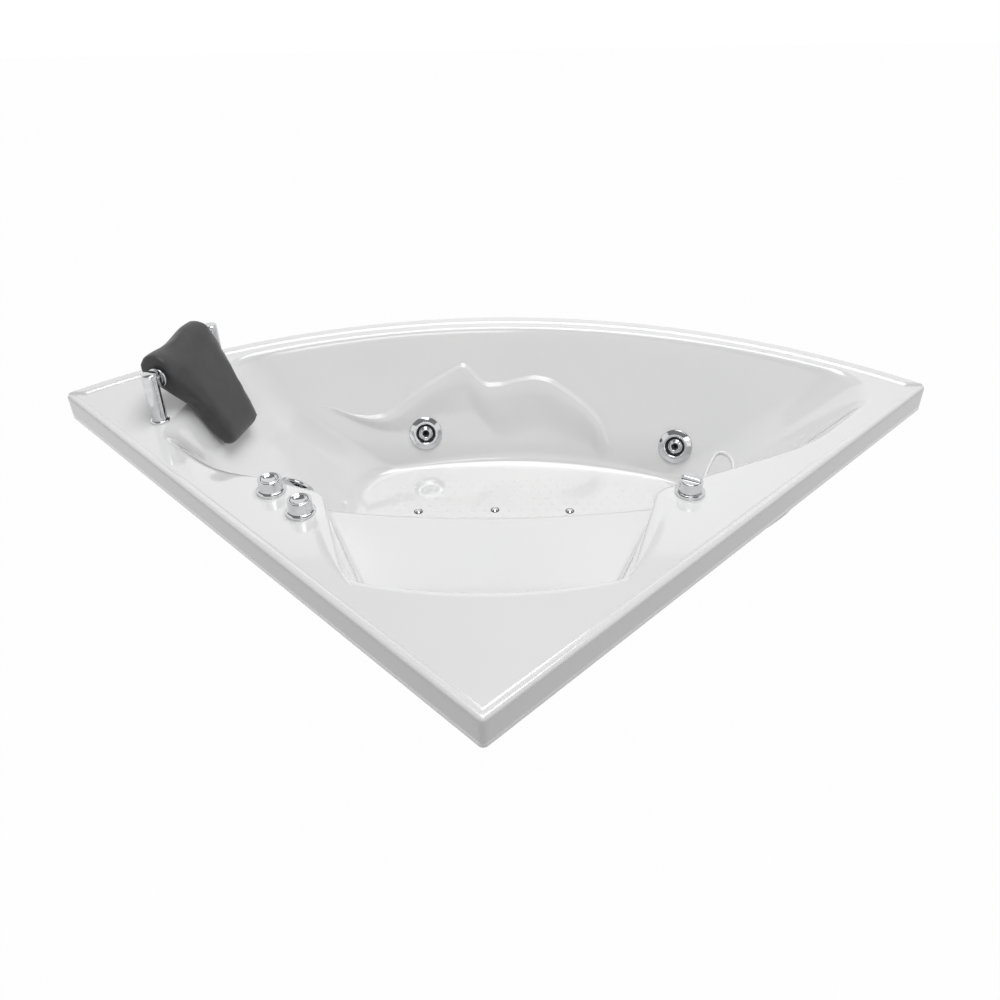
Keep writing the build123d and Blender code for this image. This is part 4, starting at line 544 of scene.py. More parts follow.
# %% [markdown]
# The grid is filled row by row. Outside, each row is the deck's outline at one depth, so the rounded
# edge, the bead along the curved side and the fine groove along the straight sides run parallel to
# the edge as they do on a trimmed moulding. Inside, each column takes its own softened profile.

# %% Grid of the tub
BEAD_HEIGHT = 5.0
EDGE_ROUND = 7.0
GROOVE = {13.2: 0.0, 14.4: -0.35, 15.4: -0.35, 16.6: 0.0}
EDGE_STEPS = [(0.0, z) for z in (-SKIRT, -48.0, -36.0, -24.0, -14.0)]
for a in np.linspace(0, math.pi / 2, 8):
    EDGE_STEPS.append((EDGE_ROUND * (1 - math.cos(a)), EDGE_ROUND * (math.sin(a) - 1)))
for d in (10.5, 13.2, 14.4, 15.4, 16.6, 20.0, 25.0, 29.0, 31.0, 33.0, 35.0, 37.0, 38.5, DECK_START):
    EDGE_STEPS.append((d, GROOVE.get(d, 0.0)))

curved_share = []
for run, share in on_edge:
    curved_share.append({2: share, 3: 1.0, 4: 1.0 - share}.get(run, 0.0))
curved_share = smooth(0, 1, curved_share)

outer = np.empty((len(EDGE_STEPS), len(columns), 3))
for row, (depth, height) in enumerate(EDGE_STEPS):
    level = rounded(deck_edge(depth))
    bead = BEAD_HEIGHT * smooth(0, 9, depth) * (1 - smooth(29, 38, depth))
    flat = height if depth > EDGE_ROUND + 1 else 0.0
    for column, (run, share) in enumerate(on_edge):
        outer[row, column, :2] = place_on(level[run], share)
        outer[row, column, 2] = height - flat * curved_share[column] + bead * curved_share[column]

# Widths of the bends in mm: at the rim, below the seat's back and front, and at the floor
FAR_RIM_BEND, SEAT_RIM_BEND, WING_RIM_BEND = 36.0, 30.0, 74.0
SIDE_BEND, SEAT_BACK_BEND, SEAT_FRONT_BEND = 140.0, 60.0, 50.0
FLOOR_BEND = 56.0
SHARP = 2.0
SWELL_TURNS = [-21, -15, -8.7, -3, 4, 10, 17]
SWELL_REACH = [45, 70, 95, 150, 150, 110, 45]
ROWS = [(0, 14), (1, 8), (2, 14), (3, 36), (4, 16), (5, 14), (6, 12)]
HILL_ROWS = [20, 22, 24]


def around(values, reach=14):
    """One value per column, averaged with its neighbours so that nothing changes in a step."""
    padded = np.concatenate((values[-reach:], values, values[:reach]))
    return np.convolve(padded, np.ones(2 * reach + 1) / (2 * reach + 1), mode="valid")


# Runs of the rim: 0 to 2 the far side, 3 to 7 the left wall, 8 to 14 the seat, 15 to 17 the right wall
run_of = np.array([run for run, _ in columns])
far_side, at_seat = run_of < 3, (run_of > 7) & (run_of < 15)
near_rim_bend = np.where(at_seat, SEAT_RIM_BEND, WING_RIM_BEND)
rim_window = around(np.where(far_side, FAR_RIM_BEND, near_rim_bend))
wall_window = around(np.where(at_seat, SEAT_BACK_BEND, SIDE_BEND))
front_window = around(np.where(at_seat, SEAT_FRONT_BEND, SIDE_BEND))
fold_share = around(np.where((run_of == 9) | (run_of == 13), 1.0, 0.0), 6)
FOLD_HEIGHT = 3.0
FOLD_BACK = 24.0
FOLD_WIDTH = 9.0
INNER_REACH = 0.86


def column_profile(index):
    """Points down one column inside the deck's edge."""
    run, share = columns[index]
    rim_point = (*place_on(rim[run], share), 0.0)
    seat_back = (*place_on(seat[run], share), SEAT_LEVEL)
    front_run, front_share = on_front[index]
    seat_front = (*place_on(ledge_line[front_run], front_share), SEAT_LEVEL)
    foot = np.array((*place_on(foot_line[front_run], front_share), FLOOR_LEVEL))
    inner = foot + (FLOOR_MIDDLE - foot) * INNER_REACH
    line = np.array((outer[-1, index], rim_point, seat_back, seat_front, foot, inner))
    marks = np.concatenate(([0.0], np.cumsum(np.linalg.norm(np.diff(line, axis=0), axis=1))))
    middle, half = (marks[2] + marks[3]) / 2, max((marks[3] - marks[2]) / 2 + 36, 44)
    at_rim = [max(marks[1] - 20, marks[1] * 0.4), marks[1] + 22]
    breaks = [0.0, *at_rim, middle - half, middle + half, marks[4] - 50, marks[4] + 50, marks[5]]
    stops = spread(*((breaks[i], breaks[i + 1], n) for i, n in ROWS))
    turn = math.degrees(math.atan2(seat_back[0], seat_back[1]))
    height, proud = hill(turn)
    if height > SEAT_LEVEL:
        line_stop = marks[1] + (marks[2] - marks[1]) * height / SEAT_LEVEL
    else:
        line_stop = marks[3] + (marks[4] - marks[3]) * (height - SEAT_LEVEL) / (FLOOR_LEVEL - SEAT_LEVEL)
    weight = float(smooth(-25, -21, turn) * (1 - smooth(16.5, 19.5, turn))) if far_side[index] else 0.0
    if weight:
        first = sum(n for i, n in ROWS if i < 2)
        wall = sum(n for i, n in ROWS if 2 <= i < 5)
        bent = [breaks[2], line_stop - 13, line_stop + 9, breaks[5]]
        close = spread(*((bent[i], bent[i + 1], n) for i, n in enumerate(HILL_ROWS)))
        stops[first:first + wall] = stops[first:first + wall] * (1 - weight) + close * weight
    windows = [SHARP, rim_window[index], wall_window[index], front_window[index], FLOOR_BEND, SHARP]
    points = softened(line, windows, stops)
    fold = np.exp(-((stops - marks[1] + FOLD_BACK) / FOLD_WIDTH) ** 2)
    points[:, 2] += FOLD_HEIGHT * fold_share[index] * fold
    if weight:
        below = stops - line_stop
        reach = np.interp(turn, SWELL_TURNS, SWELL_REACH)
        swell = proud * weight * smooth(-8, 3, below) * (1 - smooth(12, reach, below))
        inward = np.array((-math.sin(math.radians(turn)), -math.cos(math.radians(turn)), 0.37))
        points += np.outer(swell, inward / np.linalg.norm(inward))
    return points


assert sum(HILL_ROWS) == sum(n for i, n in ROWS if 2 <= i < 5)
inner_rows = np.stack([column_profile(i) for i in range(len(columns))], axis=1)
grid = np.concatenate((outer[:-1], inner_rows))
print("grid of the tub", grid.shape)

# %% [markdown]
# Beside the pillow the deck is not flat: it breaks along a crease and falls a little towards the
# basin, so that water runs in. That is a height taken from the grid, faded out at the crease's
# ends so that no step appears.

# %% Crease beside the pillow
def beside_line(points, start, end):
    """Distance to the right of a line and share of the way along it, for grid points in plan."""
    way = np.subtract(end, start)
    size = np.linalg.norm(way)
    way = way / size
    offset = points[..., :2] - np.asarray(start)
    return offset[..., 0] * way[1] - offset[..., 1] * way[0], (offset @ way) / size


CREASE = ((-712, 850), (-560, 575))
CREASE_FALL = 9.0
side, share = beside_line(grid, *CREASE)
fall = CREASE_FALL * smooth(0, 55, -side) * smooth(0.0, 0.2, share) * (1 - smooth(0.72, 1.0, share))
fall *= smooth(-70, -8, grid[..., 2]) * (grid[..., 0] < -300)
grid[..., 2] -= fall

print("deck falls by up to", round(float(fall.max()), 1), "mm beside the pillow")

# %% [markdown]
# The grid becomes a mesh. Fittings pass through the sheet, so its faces are taken away within a
# circle round each fitting's axis and the edge that is left is pulled onto that circle, the way a
# hole saw leaves it. Then the sheet gets its thickness on the far side: acrylic seen from inside,
# a rough glass-fibre back seen from below.

# %% Tub sheet
JETS = {
    1: ((-187.18, 1221.076, -249), (0.985, 0.172, 0), (0.1594, -0.9109, 0.3805)),
    2: ((465.045, 1142.535, -249), (0.916, -0.401, 0), (-0.3721, -0.8491, 0.3749)),
}
SUCTION = ((190, 736.802, -235), (-0.998, -0.068, 0), (-0.0638, 0.9401, 0.3349))
OVERFLOW = ((-400.365, 663.123, -58), (-0.923, 0.385, 0), (0.3111, 0.7452, 0.5898))
DRAIN = ((-150, 872, FLOOR_LEVEL), (1, 0, 0), (0, 0, 1))
CUT_DEPTH = 30
PULL_REACH = 22
HOLES = [(*JETS[1], 31), (*JETS[2], 31), (*SUCTION, 31), (*OVERFLOW, 24), (*DRAIN, 26)]


def new_piece(name, points, faces, node_slot, body, nodes, *materials):
    """Mesh object from millimetre points, riding a body and standing for CAD nodes."""
    mesh = bpy.data.meshes.new(name)
    mesh.from_pydata([tuple(p) for p in spot(points)], [], faces)
    mesh.validate()
    made = bpy.data.objects.new(name, mesh)
    bpy.context.scene.collection.objects.link(made)
    for material in materials:
        mesh.materials.append(material)
    mesh.polygons.foreach_set("use_smooth", [True] * len(mesh.polygons))
    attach(made, body)
    if nodes:
        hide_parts(*nodes)
    return made


def keep_modifiers(made):
    """Turns the modifiers of a piece into mesh."""
    seen_mesh = made.evaluated_get(bpy.context.evaluated_depsgraph_get())
    mesh = bpy.data.meshes.new_from_object(seen_mesh)
    made.modifiers.clear()
    old, made.data = made.data, mesh
    mesh.name = old.name
    bpy.data.meshes.remove(old)


rows_made, columns_made = grid.shape[:2]
points = np.vstack((grid.reshape(-1, 3), FLOOR_MIDDLE[None]))
centre_index = len(points) - 1
faces = []
last = (rows_made - 1) * columns_made
for start in range(0, last, columns_made):
    below = start + columns_made
    for c in range(columns_made):
        d = (c + 1) % columns_made
        faces.append((start + c, start + d, below + d, below + c))
faces += [(last + c, last + (c + 1) % columns_made, centre_index) for c in range(columns_made)]

middles = np.array([points[list(f)].mean(axis=0) for f in faces])
gone = np.zeros(len(faces), bool)
for place, across, out, radius in HOLES:
    offset = middles - np.array(place)
    height = offset @ np.array(out)
    reach = np.linalg.norm(offset - np.outer(height, out), axis=1)
    gone |= (reach < radius) & (abs(height) < CUT_DEPTH)
faces = [f for f, cut in zip(faces, gone) if not cut]

edge_uses = {}
for f in faces:
    for a, b in zip(f, f[1:] + f[:1]):
        edge_uses[(min(a, b), max(a, b))] = edge_uses.get((min(a, b), max(a, b)), 0) + 1
rims = sorted({v for pair, uses in edge_uses.items() if uses == 1 for v in pair if v >= columns_made})
for place, across, out, radius in HOLES:
    for v in rims:
        offset = points[v] - np.array(place)
        height = float(offset @ np.array(out))
        flat = offset - height * np.array(out)
        reach = np.linalg.norm(flat)
        if reach < radius + PULL_REACH and abs(height) < CUT_DEPTH:
            points[v] = np.array(place) + height * np.array(out) + flat * radius / reach

fibre = finish(
    "glass_fibre_back", (0.62, 0.63, 0.60), (0.48, 0.50, 0.47), 22, (0.45, 0.75), bump=0.7, bump_grain=160)
tub_sheet = new_piece("tub_sheet", points, faces, "acrylic", "tub", ["tub_shell"], acrylic, fibre)
thick = tub_sheet.modifiers.new("thickness", "SOLIDIFY")
thick.thickness = 0.0058
thick.offset = -1.0
thick.material_offset = 1
keep_modifiers(tub_sheet)
print("tub sheet faces", len(tub_sheet.data.polygons))

# %% [markdown]
# Most fittings are turned parts. A turned part is drawn as half of its section, radius against
# height, and spun round its axis. Every corner of the section gets a small round first, because a
# machined edge always has one and it is the round that carries the bright line.

# %% Turning
def eased(section, size):
    """A section with its corners rounded; a corner is never cut deeper than 0.45 of its shorter side."""
    section = [np.array(p, float) for p in section]
    result = [section[0]]
    for before, corner, after in zip(section, section[1:], section[2:]):
        way_in, way_out = before - corner, after - corner
        reach = min(size, 0.45 * np.linalg.norm(way_in), 0.45 * np.linalg.norm(way_out))
        start = corner + way_in / np.linalg.norm(way_in) * reach
        end = corner + way_out / np.linalg.norm(way_out) * reach
        for share in (0.0, 0.25, 0.5, 0.75, 1.0):
            result.append(start * (1 - share) ** 2 + corner * 2 * share * (1 - share) + end * share ** 2)
    return result + [section[-1]]


UPRIGHT = ((1, 0, 0), (0, 0, 1))


def turned_mesh(section, place, across, out, round_size=0.6, steps=72):
    """Points and faces of a section (radius, height) turned about an axis; radius 0 closes it."""
    across, out = np.array(across, float), np.array(out, float)
    out /= np.linalg.norm(out)
    across -= out * (across @ out)
    across /= np.linalg.norm(across)
    other = np.cross(out, across)
    made, faces, rings = [], [], []
    for radius, height in eased(section, round_size):
        centre = np.array(place, float) + out * height
        if radius < 1e-6:
            rings.append([len(made)])
            made.append(centre)
            continue
        rings.append(list(range(len(made), len(made) + steps)))
        for angle in np.linspace(0, 2 * math.pi, steps, endpoint=False):
            made.append(centre + radius * (math.cos(angle) * across + math.sin(angle) * other))
    for low, high in zip(rings, rings[1:]):
        for i in range(steps):
            j = (i + 1) % steps
            if len(low) == 1 and len(high) == 1:
                continue
            if len(low) == 1:
                faces.append((low[0], high[j], high[i]))
            elif len(high) == 1:
                faces.append((low[i], low[j], high[0]))
            else:
                faces.append((low[i], low[j], high[j], high[i]))
    return made, faces


def joined(parts):
    """Several (points, faces) meshes as one."""
    points, faces = [], []
    for more_points, more_faces in parts:
        faces += [tuple(i + len(points) for i in f) for f in more_faces]
        points += list(more_points)
    return points, faces


def turned(name, parts, node_slot, body, nodes, *materials):
    made = new_piece(name, *joined(parts), node_slot, body, nodes, *materials)
    shape = bmesh.new()
    shape.from_mesh(made.data)
    bmesh.ops.recalc_face_normals(shape, faces=shape.faces)
    shape.to_mesh(made.data)
    shape.free()
    return made


def chromed(name, parts, body, *nodes):
    """A turned piece of bright chrome."""
    return turned(name, parts, "chrome", body, nodes, chrome)


print("an eased square corner has", len(eased([(0, 0), (5, 0), (5, 5)], 1)), "points")

# %% [markdown]
# The deck carries three controls. The two push buttons share one base: a broad flange, a collar
# that leans in, and a well in which the disc moves. The right one turns: it has a plain base and a
# knob with a raised finger bar, set a little askew as someone left it.

# %% Deck controls
BUTTONS = {"massage": (-422, 582, 0), "bubble": (-351, 510, 0)}
REGULATOR = (382, 565, 0)
BEZEL = [
    (0, 0), (28.5, 0), (28.5, 5.6), (26.1, 8), (23, 8.4), (23, 29.5),
    (21.5, 31), (18.4, 31), (17.3, 30.2), (17, 12), (0, 12),
]
DISC = [
    (0, 16.3), (4, 16.3), (4, 21.5), (16.6, 21.5), (16.95, 22.2), (16.6, 29.4),
    (15.9, 30.5), (14.2, 30.5), (12.6, 29.2), (10.5, 28.1), (4, 27.6), (0, 27.5),
]
for kind, place in BUTTONS.items():
    chromed(kind + "_collar", [turned_mesh(BEZEL, place, *UPRIGHT)], "tub", kind + "_bezel")
    chromed(kind + "_disc", [turned_mesh(DISC, place, *UPRIGHT)], kind + "_button", kind + "_button")

REGULATOR_BASE = [(0, 0), (28.5, 0), (28.5, 5.6), (26.1, 8), (8, 8), (8, 18), (0, 18)]
KNOB_TOP = 31
KNOB = [(0, 18.6), (8.4, 18.6), (8.4, 8.3), (22.4, 8.3), (23, 9), (23, 29.2), (21.2, KNOB_TOP), (0, KNOB_TOP)]
chromed("regulator_collar", [turned_mesh(REGULATOR_BASE, REGULATOR, *UPRIGHT)], "tub", "regulator_base")
BAR_TURN = math.radians(-28)
bar_way = np.array((math.cos(BAR_TURN), math.sin(BAR_TURN), 0))
bar_side = np.array((-math.sin(BAR_TURN), math.cos(BAR_TURN), 0))
bar_points, bar_faces = [], []
BAR_SINK = -0.5
BAR_SECTION = [
    (-4.5, BAR_SINK), (-4.5, 2.4), (-3.7, 4.2), (-1.6, 5), (1.6, 5), (3.7, 4.2), (4.5, 2.4), (4.5, BAR_SINK),
]
BAR_ENDS = [
    (-19, 0.55), (-18.4, 0.8), (-16.5, 0.95), (-12, 1), (12, 1), (16.5, 0.95), (18.4, 0.8), (19, 0.55),
]
for along, width in BAR_ENDS:
    for across, height in BAR_SECTION:
        level = KNOB_TOP + max(height * width, BAR_SINK)
        bar_points.append(np.array(REGULATOR) + bar_way * along + bar_side * across * width + (0, 0, level))
count = len(BAR_SECTION)
for i in range(len(BAR_ENDS) - 1):
    for j in range(count - 1):
        bar_faces.append((i * count + j, (i + 1) * count + j, (i + 1) * count + j + 1, i * count + j + 1))
bar_faces.append(tuple(range(count)))
bar_faces.append(tuple(range((len(BAR_ENDS) - 1) * count, len(BAR_ENDS) * count))[::-1])
knob_parts = [turned_mesh(KNOB, REGULATOR, *UPRIGHT), (bar_points, bar_faces)]
chromed("regulator_grip", knob_parts, "regulator_knob", "regulator_knob")
print("deck controls made")

# %% [markdown]
# The pillow hangs on a thin axle between two bright posts. A post is a tube with a lightly domed
# cap, a fine groove under the cap and a ring at its foot, where it meets the deck. The axle's two
# washers are turned about the axle's own line instead of the upright one.

# %% Pillow posts and axle
POSTS = [(-728, 863, 0), (-666.4, 1115.6, 0)]
POST_WAY = (0.237, 0.972, 0)
AXLE_HEIGHT = 92
POST = [
    (0, 0), (16.3, 0), (16.3, 108.5), (15.7, 109.4), (15.7, 110.2),
    (16.3, 111), (16.0, 112.8), (14, 114), (8, 114.8), (0, 115),
]
RING = [(16.5, 0), (21, 0), (21, 3.6), (19.6, 5.4), (17.6, 6), (16.5, 6), (16.5, 0)]
WASHER = [(5.2, 23), (21.2, 23), (22, 23.8), (22, 26.2), (21.2, 27), (5.2, 27), (5.2, 23)]
chromed("post_tubes", [turned_mesh(POST, p, *UPRIGHT) for p in POSTS], "tub", "pillow_posts")
chromed("post_feet", [turned_mesh(RING, p, *UPRIGHT) for p in POSTS], "tub", "pillow_post_rings")
near_end, far_end = (np.array(p) + (0, 0, AXLE_HEIGHT) for p in POSTS)
span = np.linalg.norm(far_end - near_end)
across_axle = (0.972, -0.237, 0)
washers = [
    turned_mesh(WASHER, near_end, across_axle, POST_WAY),
    turned_mesh(WASHER, far_end, across_axle, -np.array(POST_WAY)),
]
chromed("axle_washers", washers, "tub", "pillow_washers")
BAR = [(0, 8), (5, 8), (5, span - 8), (0, span - 8)]
chromed("axle_bar", [turned_mesh(BAR, near_end, across_axle, POST_WAY)], "tub", "pillow_axle")
print("axle", round(float(span), 1), "mm between posts")

# %% [markdown]
# A jet has a fixed threaded fitting, a face that turns in it to mix air, and a ball nozzle that
# tilts in the face. From above one sees the cone of the face, a dark ring-shaped gap round the
# nozzle and its bore, so those three get the care. Black rubber fills the gap and lines the bore:
# dark fill that paints the shade inside these openings. The overflow is a dial on the left wall,
# turned to lift the plug.

# %% Jets and overflow
JET_FACE = [
    (24, -14), (24, 3.5), (36.6, 3.5), (36.6, 1.2), (43.5, 1.2), (43.5, 3.7), (42.4, 5.0), (33, 8.4),
    (31.2, 9.0), (27, 9.0), (25.2, 7.6), (24, 4), (21.2, 0), (20.7, -2), (19.4, -9), (16, -14), (24, -14),
]
BALL = 19.7
BALL_SINK = 2
ball_round = [(math.sqrt(BALL ** 2 - (h + BALL_SINK) ** 2), h) for h in (-16, -12, -8, -4, 0, 3)]
NOZZLE = [
    (6, -16), *ball_round, (17, 4.6), (14.4, 2.6), (12.6, 3.2), (12.6, 9.0),
    (11.9, 10), (10.2, 10), (8.7, 8.4), (8.2, 0), (6, -2), (6, -16),
]
for number, (place, across, out) in JETS.items():
    jet = "jet_%d_" % number
    cone = turned_mesh(JET_FACE, place, across, out, 0.5, 96)
    ball = turned_mesh(NOZZLE, place, across, out, 0.5)
    chromed(jet + "cone", [cone], jet + "face", jet + "face")
    chromed(jet + "ball", [ball], jet + "nozzle", jet + "nozzle")

GAP_SHADE_RING = [(20.9, 0.6), (22.8, 3.6), (22.2, 4.4), (20.4, 1.6), (20.9, 0.6)]
BORE_SHADE_LINING = [(3.2, -15), (7.8, -15), (8.3, 4.4), (7.4, 4.8), (3.2, -3), (3.2, -15)]
# Painted shade: a black ring in the gap round each ball and a black lining in its bore
for number, (place, across, out) in JETS.items():
    jet = "jet_%d_" % number
    gap_shade = turned_mesh(GAP_SHADE_RING, place, across, out, 0.2)
    bore_shade = turned_mesh(BORE_SHADE_LINING, place, across, out, 0.2, 48)
    turned(jet + "gap_shade", [gap_shade], "rubber", jet + "face", [], rubber)
    turned(jet + "bore_shade", [bore_shade], "rubber", jet + "nozzle", [], rubber)

AIR_CAPS = [(-193, 983, FLOOR_LEVEL), (-1, 987, FLOOR_LEVEL), (186, 980, FLOOR_LEVEL)]
# Painted shade: a thin dark ring round each air cap stands in for the shade at the cap's edge
AIR_CAP_SHADE_RING = [(8.8, -0.4), (11, -0.4), (11, 0.7), (10.4, 1.1), (8.8, 1.1), (8.8, -0.4)]
cap_shade_rings = [turned_mesh(AIR_CAP_SHADE_RING, p, *UPRIGHT, 0.2, 40) for p in AIR_CAPS]
turned("air_cap_shade_rings", cap_shade_rings, "rubber", "tub", [], rubber)

DIAL = [
    (0, -8), (6, -8), (6, 12), (33.6, 12), (35, 13.2), (35, 15.4),
    (33.4, 17.8), (30, 19.8), (26, 20.7), (18, 21), (0, 21),
]
chromed("overflow_cap", [turned_mesh(DIAL, *OVERFLOW, 0.5, 96)], "overflow_dial", "overflow_dial")
print("jets", len(JETS), "air caps", len(AIR_CAPS))

# %% [markdown]
# Two small things belong to the shell. A thin loop stands out from the right wall just below the
# deck, to grip or to hang a cloth on, and is swept along its plan with both ends sunk in the wall.
# And the basin's floor has low domes in staggered rows so that a wet foot holds.

# %% Grip loop and floor domes
LOOP_LEVEL = -30.0
LOOP_PLAN = [
    (424, 636), (434, 672), (446, 700), (458, 728), (468, 748), (477, 756),
    (488, 754), (496, 742), (499, 722), (496, 698), (486, 664),
]
LOOP_RADIUS = 3.6
LOOP_TALL = 1.4
TUBE_SIDES = 12
loop = np.array([(x, y, LOOP_LEVEL) for x, y in LOOP_PLAN], float)
fine = np.linspace(0, len(loop) - 1, 8 * (len(loop) - 1) + 1)
loop = np.stack([np.interp(fine, range(len(loop)), loop[:, k]) for k in range(3)], axis=1)
for _ in range(12):
    loop[1:-1] = (loop[:-2] + 2 * loop[1:-1] + loop[2:]) / 4
loop_points, loop_faces = [], []
for i, place in enumerate(loop):
    along = loop[min(i + 1, len(loop) - 1)] - loop[max(i - 1, 0)]
    along /= np.linalg.norm(along)
    side = np.cross(along, (0, 0, 1))
    for k in range(TUBE_SIDES):
        angle = 2 * math.pi * k / TUBE_SIDES
        spoke = side * math.cos(angle) + np.array((0, 0, LOOP_TALL)) * math.sin(angle)
        loop_points.append(place + LOOP_RADIUS * spoke)
last_ring = (len(loop) - 1) * TUBE_SIDES
for start in range(0, last_ring, TUBE_SIDES):
    after = start + TUBE_SIDES
    for k in range(TUBE_SIDES):
        m = (k + 1) % TUBE_SIDES
        loop_faces.append((start + k, start + m, after + m, after + k))
loop_faces.append(tuple(range(TUBE_SIDES))[::-1])
loop_faces.append(tuple(range(last_ring, last_ring + TUBE_SIDES)))
turned("grip_loop", [(loop_points, loop_faces)], "acrylic", "tub", ["tub_shell"], acrylic)

DOME = [(5.5, -0.6), (5.5, 0.0), (4.4, 0.25), (2.4, 0.45), (0, 0.5)]
CLEAR = [(DRAIN[0][:2], 48)] + [(place[:2], 18) for place in AIR_CAPS]
ROW_STEP, DOME_STEP, FLOOR_MARGIN = 27, 31, 66
shares = np.linspace(0, 1, 12, endpoint=False)
inner_floor = np.array([place_on(run, share) for run in foot_line for share in shares])


def inside_floor(x, y, margin):
    """True where a dome has the floor under it, with a margin to the floor's edge."""
    crossings = 0
    for (ax, ay), (bx, by) in zip(inner_floor, np.roll(inner_floor, -1, axis=0)):
        if (ay > y) != (by > y) and x < ax + (y - ay) * (bx - ax) / (by - ay):
            crossings += 1
    return crossings % 2 == 1 and np.min(np.hypot(*(inner_floor - (x, y)).T)) > margin


def clear_of_fittings(x, y):
    return all(math.hypot(x - cx, y - cy) > reach for (cx, cy), reach in CLEAR)


domes = []
for row, y in enumerate(np.arange(850, 1160, ROW_STEP)):
    for x in np.arange(-320, 500, DOME_STEP) + (DOME_STEP / 2 if row % 2 else 0):
        if inside_floor(x, y, FLOOR_MARGIN) and clear_of_fittings(x, y):
            domes.append(turned_mesh(DOME, (x, y, FLOOR_LEVEL), *UPRIGHT, 0.4, 20))
turned("floor_domes", domes, "acrylic", "tub", ["tub_shell"], acrylic)
print("floor domes", len(domes))

# %% [markdown]
# The pillow is soft foam in a stretched cover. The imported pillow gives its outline; a copy of it,
# drawn in by a few millimetres, is wrapped in small even faces and blown up as cloth with a little
# inner pressure, so that its edges round over and its flats swell the way a stuffed skin does.

# %% Pillow
leather = finish(
    "pillow_leather", (0.040, 0.040, 0.042), (0.027, 0.027, 0.029), 30, (0.42, 0.58),
    bump=0.35, bump_grain=900)
soft = part_of(leather, "ShaderNodeBsdfPrincipled")
soft.inputs["Sheen Weight"].default_value = 0.25
soft.inputs["Sheen Roughness"].default_value = 0.5

pillow = bpy.data.objects.new("pillow_pad", frame["nodes"]["pillow"].data.copy())
bpy.context.scene.collection.objects.link(pillow)
pillow.data.transform(frame["nodes"]["pillow"].matrix_world)
pillow.data.materials.clear()
pillow.data.materials.append(leather)
wrap = pillow.modifiers.new("even_faces", "REMESH")
wrap.mode = "VOXEL"
wrap.voxel_size = 0.0052
shrink = pillow.modifiers.new("draw_in", "DISPLACE")
shrink.strength = -0.0025
shrink.mid_level = 0.0
ease = pillow.modifiers.new("ease", "SMOOTH")
ease.factor = 0.5
ease.iterations = 6
keep_modifiers(pillow)
start_points = np.array([v.co for v in pillow.data.vertices])
FILLING_STEPS = 20
filling = pillow.modifiers.new("filling", "CLOTH")
filling.settings.use_pressure = True
filling.settings.uniform_pressure_force = 4.0
filling.settings.effector_weights.gravity = 0.0
filling.settings.tension_stiffness = 40
filling.settings.compression_stiffness = 40
filling.settings.bending_stiffness = 6
filling.settings.quality = 8
filling.point_cache.frame_end = FILLING_STEPS
for step in range(1, FILLING_STEPS + 1):
    bpy.context.scene.frame_set(step)
keep_modifiers(pillow)
bpy.context.scene.frame_set(1)
moved = np.array([v.co for v in pillow.data.vertices]) - start_points
size = np.linalg.norm(moved, axis=1)
LARGEST_SWELL = 0.008
scale_down = np.minimum(1.0, LARGEST_SWELL / np.maximum(size, 1e-9))
for vertex, start, step in zip(pillow.data.vertices, start_points, moved * scale_down[:, None]):
    vertex.co = start + step
print("pillow swells by up to", round(float(size.max()) * 1000, 1), "mm")

# %% [markdown]
# The stuffed form is then finished: the crest dips near the first post and rises at the second,
# as the photograph shows. The cloth step leaves small lumps, which a smoothing takes away, and one
# round of subdivision gives the skin faces fine enough for a clean outline.

# %% Pillow crest and smoothing
crest_dip, crest_rise = 0.005, 0.003
axle_start, axle_end = spot([near_end])[0], spot([far_end])[0]
axle_way = (axle_end - axle_start) / np.linalg.norm(axle_end - axle_start)
for vertex in pillow.data.vertices:
    offset = np.array(vertex.co) - axle_start
    along = float(offset @ axle_way) * 1000
    lift = crest_rise * math.exp(-((along - 190) / 42) ** 2) - crest_dip * math.exp(-((along - 92) / 34) ** 2)
    vertex.co.z += lift * float(smooth(0.10, 0.135, vertex.co.z - RIM_HEIGHT / 1000))
even = pillow.modifiers.new("even", "SMOOTH")
even.factor = 0.5
even.iterations = 16
finer = pillow.modifiers.new("finer", "SUBSURF")
finer.levels = finer.render_levels = 1
keep_modifiers(pillow)
pillow.data.polygons.foreach_set("use_smooth", [True] * len(pillow.data.polygons))
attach(pillow, "pillow")
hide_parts("pillow")
print("pillow faces", len(pillow.data.polygons))

# %% [markdown]
# The rest of the tub is what stands behind the wall: boards, a painted steel frame, pump, blower
# and pipes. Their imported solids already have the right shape, so they only get a finish, one per
# kind of material, each with the marks that the material really has.

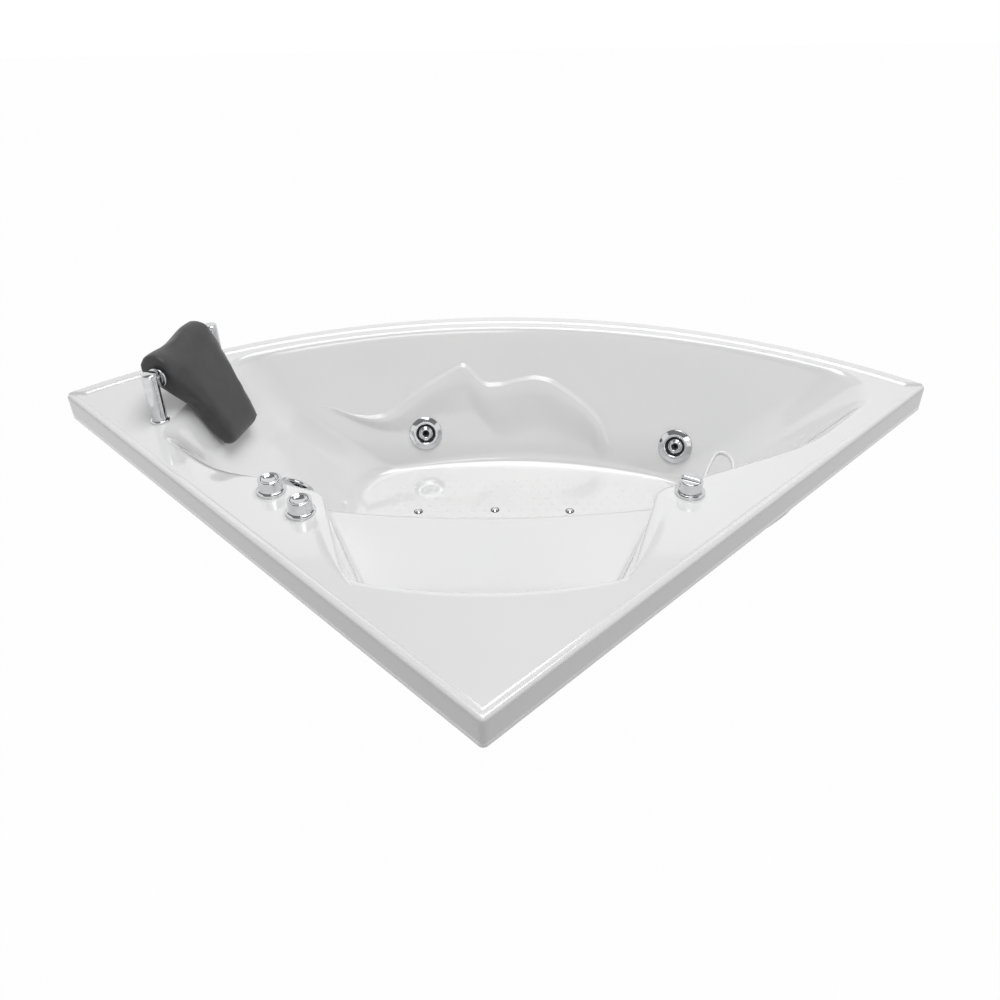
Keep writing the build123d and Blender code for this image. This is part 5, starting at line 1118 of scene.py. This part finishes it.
# %% Finishes of the hidden side
zinc = finish(
    "zinc_plate", (0.66, 0.66, 0.63), (0.48, 0.49, 0.48), 55, (0.28, 0.5),
    metallic=1.0, bump=0.25, bump_grain=420)
paint = finish(
    "frame_paint", (0.30, 0.31, 0.33), (0.24, 0.25, 0.27), 14, (0.35, 0.55), bump=0.5, bump_grain=260)
plastic = finish(
    "fitting_plastic", (0.80, 0.80, 0.78), (0.71, 0.71, 0.68), 26, (0.42, 0.6), bump=0.25, bump_grain=420)
pipe = finish(
    "pipe_plastic", (0.76, 0.78, 0.80), (0.66, 0.68, 0.71), 12, (0.22, 0.4),
    bump=0.2, bump_grain=90, stretch=(1, 1, 3))
pump_black = finish(
    "pump_plastic", (0.11, 0.11, 0.12), (0.075, 0.075, 0.08), 40, (0.45, 0.65), bump=0.5, bump_grain=700)
cast = finish(
    "motor_casting", (0.52, 0.53, 0.55), (0.40, 0.41, 0.43), 45, (0.42, 0.62),
    metallic=0.8, bump=0.8, bump_grain=600)


def boards():
    """Softwood with long grain: stretched noise pulled through rings."""
    made = finish(
        "pine_boards", (0.72, 0.55, 0.36), (0.55, 0.39, 0.23), 7, (0.55, 0.75),
        bump=0.4, bump_grain=60, stretch=(1, 9, 9))
    nodes, links = made.node_tree.nodes, made.node_tree.links
    rings = nodes.new("ShaderNodeTexWave")
    rings.inputs["Scale"].default_value = 5.0
    rings.inputs["Distortion"].default_value = 7.0
    rings.inputs["Detail"].default_value = 3.0
    links.new(part_of(made, "ShaderNodeMapping").outputs[0], rings.inputs["Vector"])
    mixed = nodes.new("ShaderNodeMix")
    mixed.inputs["Factor"].default_value = 0.55
    links.new(part_of(made, "ShaderNodeTexNoise").outputs["Fac"], mixed.inputs["A"])
    links.new(rings.outputs["Fac"], mixed.inputs["B"])
    links.new(mixed.outputs["Result"], part_of(made, "ShaderNodeValToRGB").inputs["Fac"])
    return made


FINISHES = {
    "acrylic": acrylic, "timber": boards(), "frame_paint": paint, "zinc_steel": zinc, "rubber": rubber,
    "pillow_cover": leather, "chrome": chrome, "fitting_plastic": plastic, "pipe_plastic": pipe,
    "pump_plastic": pump_black, "motor_metal": cast,
}
for subpart in frame["record"]["subparts"]:
    node = frame["nodes"][subpart["node"]]
    node.data.materials.clear()
    node.data.materials.append(FINISHES[subpart["material_slot"]])
